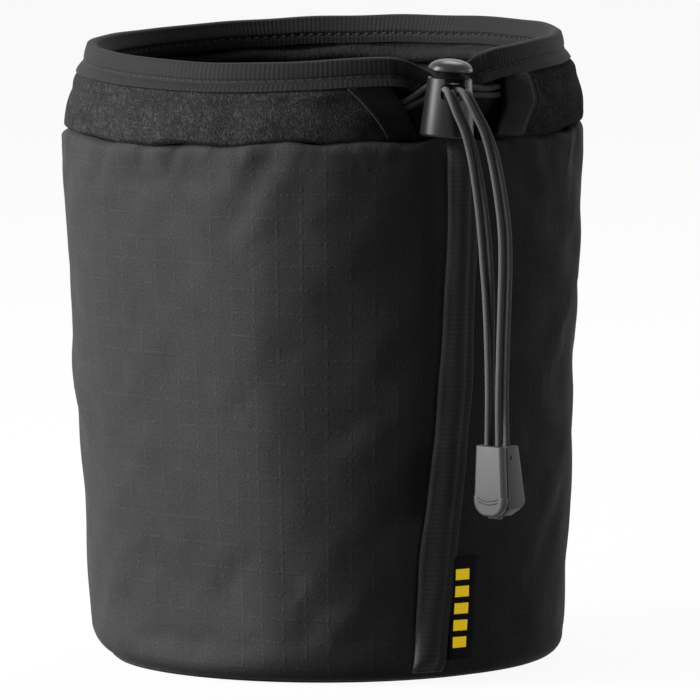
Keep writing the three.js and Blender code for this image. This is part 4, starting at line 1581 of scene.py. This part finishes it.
def stitches(name, path, out, length, spacing, thick, thread=THREAD, cross=0.0):
    """A row of stitches along a path of points, with the cloth's outward direction at each point.
    The stitches lie at an angle, cross, to the path."""
    far = distances(path)
    count = int(far[-1] // spacing)
    middle = (np.arange(count) + 0.5) * far[-1] / count
    ahead = unit(along(path, far, middle + STITCH_AIM) - along(path, far, middle - STITCH_AIM))
    normal = along(out, far, middle)
    normal = unit(normal - ahead * (normal * ahead).sum(1, keepdims=True))
    turn = math.radians(cross)
    run = ahead * math.cos(turn) + np.cross(normal, ahead) * math.sin(turn)
    wide = np.cross(normal, run)
    rings = along(path, far, middle)[:, None] + run[:, None] * STITCH_RINGS[:, None] * length
    rings = rings + normal[:, None] * STITCH_LIFT[:, None] * thick
    a = circle(STITCH_SIDES)[:, None]
    outline = np.cos(a) * normal[:, None] + np.sin(a) * wide[:, None]
    points = rings[:, :, None] + (STITCH_THICK * thick / 2)[:, None, None] * outline[:, None]
    size = len(STITCH_RINGS) * STITCH_SIDES
    template = stitch_faces()
    faces = [[i * size + corner for corner in face] for i in range(count) for face in template]
    return sewn(finish_mesh(name, points.reshape(-1, 3), faces), thread)


# Bindings

rim_wave = waves(seed=41, count=12, low=5, high=18)
RIM_WAVER = 0.12
# The folded tape narrows towards its top: by how much, over what drop, and the shares outside and inside
RIM_THIN = 1.25
RIM_THIN_DROP = 5
RIM_THIN_OUTSIDE = 0.25
RIM_THIN_INSIDE = 1.6
RIM_EDGE = 1.0
# The row of stitches: its drop below the rim's top, and the length, spacing and thickness of a stitch
STITCH_DROP = 5.3
RIM_STITCH = (1.5, 2.75, 0.5)
# The groove along the stitches and the soft ridge above it, as height, drop and width
RIM_RELIEF = [(-0.6, STITCH_DROP, 0.55), (0.35, 2.6, 1.6)]
RIM_RELIEF_INSIDE = [(0.45, STITCH_DROP, 0.5)]
# How far the tape stands off below its stitches
RIM_FLARE = 0.6
# Rows of the outer and the inner face that the tape's inner hollow follows
RIM_HOLLOW = (8, 4)


def rim_thin(drop):
    return RIM_THIN * (1 - smooth(drop, 0, RIM_THIN_DROP))


def rim_outer(angle, drop):
    """The tape's outer face, a distance below the rim's top."""
    z = np.minimum(rim_top(angle) - drop, collar_top(angle))
    relief = bumps(drop, RIM_RELIEF) + RIM_FLARE * smooth(drop, STITCH_DROP, BINDING_FACE)
    return rim_cover(angle, z) + FOLD_GAP + TAPE + relief - RIM_THIN_OUTSIDE * rim_thin(drop)


def rim_inner(angle, drop):
    z = np.minimum(rim_top(angle) - drop, collar_top(angle))
    relief = bumps(drop, RIM_RELIEF_INSIDE)
    return facing_radius(angle, z) - FACING - FOLD_GAP - TAPE + relief + RIM_THIN_INSIDE * rim_thin(drop)


def rim_point(angle, drop, inside=False):
    angle, drop = np.broadcast_arrays(np.asarray(angle, float), np.asarray(drop, float))
    radius = rim_inner(angle, drop) if inside else rim_outer(angle, drop)
    return lean(polar(angle, radius, rim_top(angle) - drop + RIM_WAVER * rim_wave(angle)))


def make_rim():
    angle = all_round(count=1080)
    a, drop = lattice(angle, np.linspace(BINDING_FACE, RIM_EDGE, num=22))
    outer = rim_point(a, drop)
    inner = rim_point(a, drop, inside=True)[:, ::-1]
    half = (outer[:, -1] - inner[:, 0]) / 2
    middle = (outer[:, -1] + inner[:, 0]) / 2
    rise = np.array([0, 0, RIM_EDGE])
    turns = np.radians(np.linspace(0, 180, num=9)[1:-1])
    crown = np.stack([middle + half * math.cos(t) + rise * math.sin(t) for t in turns], 1)
    inward = -unit(half) * TAPE
    hollow = [inner[:, row] - inward for row in (-1, *RIM_HOLLOW)]
    hollow += [outer[:, row] + inward for row in (*(-1 - row for row in reversed(RIM_HOLLOW)), 0)]
    points = np.concatenate([outer, crown, inner, np.stack(hollow, 1)], 1)
    uv = section_uv(points, np.radians(np.append(angle, 360)) * collar_top_radius)
    sewn(grid("rim_tape", points, uv, sharp=SHARP_STRIP), GROSGRAIN, ["rim_binding"])
    fine = np.linspace(0, 360, num=1441)
    for side, inside, outward in (("out", False, 1.0), ("in", True, -1.0)):
        path = rim_point(fine, STITCH_DROP, inside)
        stitches("rim_stitches_" + side, path, polar(fine, outward, 0.0), *RIM_STITCH)


# The tape on the notch's left edge: how much wider it is at the rim, and how far its foot tucks in
NOTCH_FLARE = 0.5
NOTCH_FOOT_TUCK = [(-1.2, 0, 0.13)]
NOTCH_LEVELS = (0.03, 0.99)
NOTCH_ROWS = 40
# The tape starts beyond the cloth's edge, stands off the cloth, and has a ridge along its far edge
NOTCH_START = -0.4
NOTCH_STAND = 0.2
NOTCH_RIDGE = [(0.9, NOTCH_FACE - 0.5, 0.7)]
NOTCH_LENGTH = 14
# Small steps that keep the faces of the fold apart
NOTCH_STEP = 0.1
NOTCH_FOLD = 0.7


def notch_point(level, width, stand):
    """A point on the notch's left binding: up the collar, back from the notch edge, out from the cloth."""
    width = width * (1 + NOTCH_FLARE * level**2 * smooth(width, 0, NOTCH_FACE))
    angle = notch_left(level) + 360 - np.degrees(width / collar_top_radius)
    z = collar_height(angle, level)
    sunk = notch_sink(level, np.maximum(width, 0)) + bumps(level, NOTCH_FOOT_TUCK)
    return lean(polar(angle, collar_radius(angle, z) + sunk + stand, z))


def make_notch():
    level = np.linspace(*NOTCH_LEVELS, NOTCH_ROWS)
    near = NOTCH_START
    behind = -COLLAR - GAP
    over = np.linspace(NOTCH_FACE, near, num=12)
    stand = GAP + TAPE + bumps(over, NOTCH_RIDGE) + NOTCH_STAND
    back = np.linspace(near, NOTCH_FACE, num=4)
    outline = np.array([
        *zip(over, stand),
        (near - TAPE, GAP + NOTCH_STEP), (near - TAPE, behind),
        *[(x, behind - TAPE) for x in back],
        *[(x, behind) for x in back[::-1]],
        (near, -COLLAR / 2), (near, NOTCH_STEP),
        *zip(over[::-1], stand[::-1] - TAPE),
    ])
    ll, j = lattice(level, np.arange(len(outline)))
    points = notch_point(ll, outline[j, 0], outline[j, 1])
    uv = section_uv(points, np.linspace(0, NOTCH_LENGTH, NOTCH_ROWS), ring=False)
    sewn(grid("notch_tape", points, uv, ring=False, sharp=SHARP_STRIP), DARK_TAPE, ["notch_binding"])
    # The rounded fold along the tape's far edge is drawn in the paler rim tape: a real fold with a painted
    # highlight where light catches that edge
    edge = notch_point(level, np.full(NOTCH_ROWS, NOTCH_FACE + NOTCH_STEP), stand[0] + NOTCH_STEP)
    sewn(tube("notch_tape_fold", edge, NOTCH_FOLD, sides=8), GROSGRAIN)


# The tape over the flap's edge: its thickness, width, thinned edge, and depth in the cloth
HEM_TAPE = 0.4
HEM_TAPE_WIDTH = 9.7
HEM_TAPE_EDGE = 0.5
HEM_TAPE_SINK = 0.3
HEM_ROWS = 40
HEM_LEVELS = (0.06, 1.0)
HEM_STITCH_LEVELS = (0.3, 1.0)
HEM_STITCH_STAND = 0.05
HEM_STITCH = (1.7, 2.5, 0.45)


def on_hem(width, level, stand):
    """A point on the flap, a width in from its edge."""
    turn = np.degrees(width / collar_top_radius)
    return on_collar(turn / (notch_left(level) + 360 - notch_right(level)), level, stand)


def make_hem():
    """The tape turned over the flap's edge, and the stitches that hold it."""
    level, width = lattice(np.linspace(*HEM_LEVELS, HEM_ROWS), np.linspace(0, HEM_TAPE_WIDTH, num=28))
    stand = HEM_TAPE * (1 - smooth(width, HEM_TAPE_WIDTH - HEM_TAPE_EDGE, HEM_TAPE_WIDTH))
    outside = on_hem(width, level, stand)
    tape = strip("hem_tape", outside, on_hem(width, level, -HEM_TAPE_SINK), outside[:, 0, 2])
    sewn(tape, HEM_WEAVE)
    level = np.linspace(*HEM_STITCH_LEVELS, HEM_ROWS)
    path = on_hem(HEM_WIDTH, level, HEM_TAPE + HEM_STITCH_STAND)
    out = polar(notch_right(level) + math.degrees(HEM_WIDTH / collar_top_radius), 1.0, 0.0)
    stitches("hem_stitches", path, out, *HEM_STITCH)


make_rim()
make_notch()
make_hem()


# Seam tape and label

tape_edge = waves(seed=51, count=5, low=2, high=6)
# How far the left edge wanders, and how quickly up the tape
TAPE_WANDER = 0.4
TAPE_WANDER_PACE = 2.0
# The rolled fold along the left edge: its height, and steps across it
TAPE_ROLL = 1.7
FOLD_STEPS = [0, 0.06, 0.2, 0.45, 0.8, 1.25, 1.8, 2.4]
# How far the left edge spreads, is tucked in towards the top, and bulges at a kink
TAPE_SPREAD = 0.7
TAPE_TOP_TUCK = 1.2
TAPE_TUCK_HEIGHT = (85, 130)
TAPE_KINK = [(1.3, 38, 9)]
# The tape ends just under the seam and goes in there; its toe lies flat; its right edge and its back are sunk
TAPE_TOP = SEAM_HEIGHT - 0.6
TAPE_TOP_EASE = 1
TAPE_TOP_SINK = 2.2
TAPE_TOE = 5
TAPE_TOE_SINK = 0.7
TAPE_EDGE_SINK = 0.45
TAPE_BACK_SINK = 0.9
# The row of cross stitches: where it lies, its groove, and a stitch's length, spacing and thickness
LADDER_ACROSS = 1.9
LADDER_GROOVE = [(-0.3, LADDER_ACROSS, 0.7)]
LADDER_SINK = 0.25
LADDER_STITCH = (1.5, 1.45, 0.42)
LADDER_TOP = shoulder - 2

# The label stands more upright than the seam, and clear of the wall
LABEL_SHIFT_FOOT = 0.4
LABEL_SHIFT_TOP = -1.7
LABEL_LIFT = 0.45
# Where a strip's face rounds off, from its edge, and how deep its back lies
LABEL_EDGE = (-0.25, 0.35)
LABEL_BACK = 0.5
# Yellow bars on it
BAR_COUNT = 5
BAR_OFFSET = -1.2
BAR_WIDTH = 4.4
BAR_HEIGHT = 3.1
BAR_PITCH = 4.9
BAR_THICK = 0.3
BAR_STAND = 0.02


def beside_seam(z, across, stand):
    angle = seam_angle(z) + np.degrees(across / wall_radius(z))
    return on_wall(angle, z, stand)


def make_tape():
    foot = SEAM_TAPE_FOOT
    half = SEAM_TAPE_WIDTH / 2
    fold = FOLD_STEPS[-1]
    heights = np.concatenate([np.linspace(foot, round_top, num=8)[:-1],
                              np.linspace(round_top, TAPE_TOP, num=150)])
    from_edge = np.concatenate([FOLD_STEPS, np.linspace(fold, SEAM_TAPE_WIDTH, num=15)[1:]])
    across = from_edge - half
    curl = np.sqrt(1 - (1 - np.minimum(from_edge / fold, 1)) ** 2)
    roll = TAPE_ROLL * curl * (1 - smooth(from_edge, fold, SEAM_TAPE_WIDTH))
    stand = GAP + TAPE * curl + roll + bumps(across, LADDER_GROOVE)
    stand[-1] -= TAPE_EDGE_SINK
    z, x = lattice(heights, across)
    tuck = TAPE_TOP_TUCK * smooth(z, *TAPE_TUCK_HEIGHT)
    wander = TAPE_WANDER * tape_edge(z * TAPE_WANDER_PACE) + tuck - bumps(z, TAPE_KINK) - TAPE_SPREAD
    x = x + wander * (1 - smooth(x, -half, 0))
    top = TAPE_TOP_SINK * smooth(z, shoulder - TAPE_TOP_EASE, SEAM_HEIGHT)
    toe = (TAPE_TOE_SINK + roll) * (1 - smooth(z, foot, foot + TAPE_TOE))
    outside = beside_seam(z, x, stand - top - toe)
    tape = strip("seam_tape_cloth", outside, beside_seam(z, x, GAP - TAPE_BACK_SINK - top), heights)
    sewn(tape, SEAM_WEAVE, ["seam_tape"])
    fine = np.linspace(LABEL_FOOT, LADDER_TOP, num=500)
    path = beside_seam(fine, LADDER_ACROSS, GAP + TAPE - LADDER_SINK)
    out = polar(seam_angle(fine), 1.0, 0.0)
    stitches("tape_stitches", path, out, *LADDER_STITCH, thread=DARK_THREAD, cross=90)


def label_strip(name, low, high, left, right, base, thick, rows):
    heights = np.linspace(low, high, rows)
    z, x = lattice(heights, np.linspace(left, right, num=9))
    from_edge = np.minimum.reduce([z - low, high - z, x - left, right - x])
    x = x + mix(LABEL_SHIFT_FOOT, LABEL_SHIFT_TOP, (z - LABEL_FOOT) / LABEL_HEIGHT)
    outside = beside_seam(z, x, base + thick * smooth(from_edge, *LABEL_EDGE))
    return strip(name, outside, beside_seam(z, x, base - LABEL_BACK), heights)


def make_label():
    left = SEAM_TAPE_WIDTH / 2 + GAP
    right = left + LABEL_WIDTH
    top = LABEL_FOOT + LABEL_HEIGHT
    base = GAP + LABEL_LIFT
    patch = label_strip("label_patch", LABEL_FOOT, top, left, right, base, LABEL, rows=40)
    dress(patch, LABEL_WEAVE, "pouch", ["side_label"])
    bar_left = (left + right - BAR_WIDTH) / 2 + BAR_OFFSET
    first = (LABEL_FOOT + top - (BAR_COUNT - 1) * BAR_PITCH - BAR_HEIGHT) / 2
    for i in range(BAR_COUNT):
        low = first + i * BAR_PITCH
        bar = label_strip(f"label_bar_{i + 1}", low, low + BAR_HEIGHT, bar_left, bar_left + BAR_WIDTH,
                          base + LABEL + BAR_STAND, BAR_THICK, rows=14)
        dress(bar, YELLOW, "pouch")


make_tape()
make_label()


# Cord lock, in its own frame: the strands pass through its origin, and its front is at -Y

bore_radius = BARREL_TOP_RADIUS - BARREL_WALL
stem_radius = bore_radius - GAP
barrel_top = HOLE_DEPTH
barrel_foot = HOLE_DEPTH - BARREL_HEIGHT
barrel_floor = barrel_foot + BARREL_FLOOR
row_half = OUTER_SLOT * STRAND_PITCH + strand_half + GAP
grip_low = -strand_half - GAP
grip_high = strand_half + GAP
guide_top = grip_high + PRESS + GUIDE_THICK
cap_foot = guide_top + NECK_HEIGHT
cap_rim = cap_foot + CAP_EDGE
through = 2 * BARREL_FOOT_RADIUS

# Half the width of the notch in the barrel's front rim, and the window under it
NOTCH_HALF = 2.9
WINDOW_LEFT = -3.85
WINDOW_RIGHT = 3.2
WINDOW_ROUND = 0.9
# How far a cutter reaches past what it cuts
CUT_PAST = 1
# Small roundings of turned edges
LIP = 0.3
BORE_EDGE = (0.1, 0.15)
CAP_CROWN = 3.0
CAP_FULLNESS = 0.85
# How far the dark skin over the plunger's neck stands off it: painted shade, dull and nearly black where the
# cap shades the neck
SHADE_SKIN_GAP = 0.05
SPRING_STEPS = 40


def lock_piece(obj, material, body, nodes=()):
    seat(obj, lock_turn, lock_origin)
    dress(obj, material, body, nodes)


def make_barrel():
    foot = arc(BARREL_FOOT_RADIUS - BARREL_EDGE, barrel_foot + BARREL_EDGE, BARREL_EDGE, -90, 0, count=7)
    lip = arc(BARREL_TOP_RADIUS - LIP, barrel_top - LIP, LIP, 0, 90, count=4)
    barrel = lathe("lock_barrel_shell", [
        (0, barrel_foot), *foot, *lip, (bore_radius + BORE_EDGE[0], barrel_top),
        (bore_radius, barrel_top - BORE_EDGE[1]), (bore_radius, barrel_floor), (0, barrel_floor),
    ])
    back_slot = block([-row_half, 0, grip_low - PRESS], [row_half, through, grip_high])
    window = block([WINDOW_LEFT, -through, grip_low - PRESS], [WINDOW_RIGHT, CUT_PAST, grip_high])
    for cutter in (back_slot, window):
        bevel(cutter, WINDOW_ROUND, segments=4)
    notch = block([-NOTCH_HALF, -through, 0], [NOTCH_HALF, 0, barrel_top + CUT_PAST])
    cut(barrel, back_slot, window, notch)
    soften(barrel, SHARP_MOULDED)
    lock_piece(barrel, LOCK_PLASTIC, "cord_lock", ["lock_barrel"])


def make_plunger():
    a = np.linspace(0, math.pi / 2, num=12)
    dome_foot = cap_rim + CAP_DOME - CAP_CROWN
    dome = np.stack([CAP_RADIUS * np.cos(a) ** CAP_FULLNESS, dome_foot + CAP_CROWN * np.sin(a)], 1)
    dome[-1, 0] = 0
    under = arc(CAP_RADIUS - LIP, cap_foot + LIP, LIP, -90, 0, count=5)
    plunger = lathe("lock_plunger_stem", [
        (0, -STEM_FOOT), (stem_radius - LIP, -STEM_FOOT), (stem_radius, -STEM_FOOT + LIP),
        (stem_radius, guide_top), (NECK_RADIUS, guide_top), (NECK_RADIUS, cap_foot), *under, *dome,
    ])
    cut(plunger, block([-row_half, -through, grip_low], [row_half, through, grip_high + PRESS]))
    soften(plunger, SHARP_MOULDED)
    lock_piece(plunger, CAP_PLASTIC, "lock_plunger", ["lock_plunger"])
    # A dull, nearly black skin over the plunger's guide and neck: painted shade under the cap
    guide = stem_radius + SHADE_SKIN_GAP
    neck = NECK_RADIUS + SHADE_SKIN_GAP
    shade_skin = lathe("lock_neck_shade_skin", [
        (0, barrel_top), (guide, barrel_top), (guide, guide_top + SHADE_SKIN_GAP),
        (neck, guide_top + SHADE_SKIN_GAP), (neck, cap_foot), (0, cap_foot),
    ])
    lock_piece(shade_skin, NECK_SHADE_PLASTIC, "lock_plunger")


def make_spring():
    t = np.linspace(0, 1, SPRING_TURNS * SPRING_STEPS)
    low = barrel_floor + GAP + SPRING_WIRE / 2
    high = -STEM_FOOT - GAP - SPRING_WIRE / 2
    a = t * SPRING_TURNS * 2 * math.pi
    path = np.stack([SPRING_RADIUS * np.cos(a), SPRING_RADIUS * np.sin(a), mix(low, high, t)], 1)
    spring = tube("lock_spring_coil", path, SPRING_WIRE, sides=10)
    lock_piece(spring, WIRE, "cord_lock", ["lock_spring"])
    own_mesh(spring)


make_barrel()
make_plunger()
make_spring()


# Cord end, in its own frame: its top is at the origin, and its cover is in front of the parting face, at -Y

parting = END_SPLIT / 2
end_foot = -END_LENGTH
pocket_top = -END_THROAT
pocket_half = KNOT_WIDTH / 2 + GAP
front = -parting - END_COVER

# The hole that the strands enter by: half its width, and its depth back from the parting face
THROAT_HALF = 4.0
THROAT_DEPTH = 3.6
# The wider lip round the cover's bottom: its height, and how far it stands out
LIP_TOP = 5.6
LIP_STAND = 0.25
# How far the cover's front is inset, and the share of that by which its edge slopes back
COVER_EDGE = 0.9
COVER_SLOPE = 0.75
COVER_ARC = 12
# Curved grooves in the cover's front: rise above the bottom, half width, sag
GROOVES = [(4.6, 3.9, 0.9), (3.6, 3.4, 0.7)]
GROOVE = 0.28
GROOVE_DEPTHS = (0, 0.14, 0.28)
END_BEVEL = 0.3
TAB_BEVEL = 0.25
COVER_BEVEL_ANGLE = 25
BODY_BEVEL_ANGLE = 15
SIDE_CHAMFER = 2.2
# A small slot in the body's right side: its middle's height, how far it cuts in, and two of its corners
SLOT_MIDDLE = -3
SLOT_IN = 0.5
SLOT_LOW = (1.5, -3.9)
SLOT_HIGH = (2.0, -2.6)
KNOT_CORD = 1.3
KNOT_FULLNESS = 0.9


def end_piece(obj, material, body, nodes):
    seat(obj, end_turn, end_origin)
    return dress(obj, material, body, nodes)


def end_half(z):
    return float(mix(END_TOP_WIDTH, END_FOOT_WIDTH, z / end_foot) / 2)


def hollow_out(obj):
    """Cuts the strands' way in and the knot's pocket."""
    throat = block([-THROAT_HALF, -parting, -END_THROAT - GAP], [THROAT_HALF, THROAT_DEPTH, CUT_PAST])
    pocket = block([-pocket_half, grip_low, pocket_top - END_POCKET],
                   [pocket_half, END_POCKET_DEPTH, pocket_top])
    cut(obj, throat, pocket)


def cover_outline(top, stand):
    """The shell's outline from its top edge down round the bottom, made wider by stand."""
    side = end_foot + END_ROUND
    low = end_half(side) + stand
    curve = END_ROUND + stand
    left = arc(curve - low, side, curve, 180, 270, COVER_ARC)
    right = arc(low - curve, side, curve, 270, 360, COVER_ARC)
    high = end_half(top) + stand
    return np.vstack([[(-high, top)], left, right, [(high, top)]])


def shell_slab(name, outline):
    """A flat-backed slab of the shell whose front is smaller all round."""
    middle = np.array([0, outline[:, 1].mean()])
    size = np.abs(outline - middle).max(0)
    small = middle + (outline - middle) * (1 - COVER_EDGE / size)
    small[[0, -1], 1] = outline[[0, -1], 1]
    layers = [(-parting, outline), (front + COVER_EDGE * COVER_SLOPE, outline), (front, small)]
    slab = hull(name, [(x, y, z) for y, layer in layers for x, z in layer])
    bevel(slab, END_BEVEL, angle=COVER_BEVEL_ANGLE)
    return slab


def make_cover():
    cover = shell_slab("cord_end_front", cover_outline(0.0, 0.0))
    lip = shell_slab("lip", cover_outline(end_foot + LIP_TOP, LIP_STAND))
    combine(cover, lip, "UNION")
    hollow_out(cover)
    t = np.linspace(-1, 1, num=25)
    for rise, half, sag in GROOVES:
        for depth in GROOVE_DEPTHS:
            path = np.stack([half * t, 0 * t + front + depth, end_foot + rise + sag * (t**2 - 0.5)], 1)
            cut(cover, tube("groove", path, GROOVE, sides=8))
    soften(cover, SHARP_MOULDED)
    return end_piece(cover, END_PLASTIC, "cord_end_cover", ["cord_end_cover"])


def make_end_body():
    rise = SIDE_CHAMFER
    low_back = END_BODY_FOOT - END_CHAMFER
    side = [(parting, 0), (END_BODY_TOP, 0), (END_BODY_FOOT, end_foot + END_CHAMFER),
            (low_back + rise, end_foot + rise), (parting, end_foot + rise)]
    points = []
    for sign in (-1, 1):
        points += [(sign * end_half(z), y, z) for y, z in side]
        points += [(sign * (end_half(end_foot) - SIDE_CHAMFER), y, end_foot) for y in (parting, low_back)]
    body = hull("cord_end_back", points)
    bevel(body, END_BEVEL, angle=BODY_BEVEL_ANGLE)
    tab_half = HINGE_TAB_WIDTH / 2
    tab = block([-tab_half, parting, end_foot - HINGE_TAB_DROP],
                [tab_half, parting + HINGE_TAB_DEPTH, end_foot + HINGE_DROP])
    bevel(tab, TAB_BEVEL, angle=COVER_BEVEL_ANGLE)
    combine(body, tab, "UNION")
    hollow_out(body)
    width = end_half(SLOT_MIDDLE)
    cut(body, block([width - SLOT_IN, *SLOT_LOW], [width + CUT_PAST, *SLOT_HIGH]))
    soften(body, SHARP_MOULDED)
    return end_piece(body, END_PLASTIC, "cord_tail", ["cord_end_body"])


def make_knot():
    a = np.linspace(0, 1, num=160) * 2 * math.pi
    depth = (grip_low + END_POCKET_DEPTH) / 2
    height = pocket_top - GAP - KNOT_HEIGHT / 2
    wide, deep, tall = ((size - KNOT_CORD) / 2 for size in (KNOT_WIDTH, KNOT_DEPTH, KNOT_HEIGHT))
    path = np.stack([
        wide * np.sin(2 * a) * KNOT_FULLNESS, depth + deep * np.sin(3 * a), height + tall * np.cos(a),
    ], 1)
    knot = tube("cord_knot", path, KNOT_CORD, sides=10)
    return end_piece(knot, BRAID, "cord_tail", ["drawcord_knot"])


cover = make_cover()
end_body = make_end_body()
knot = make_knot()
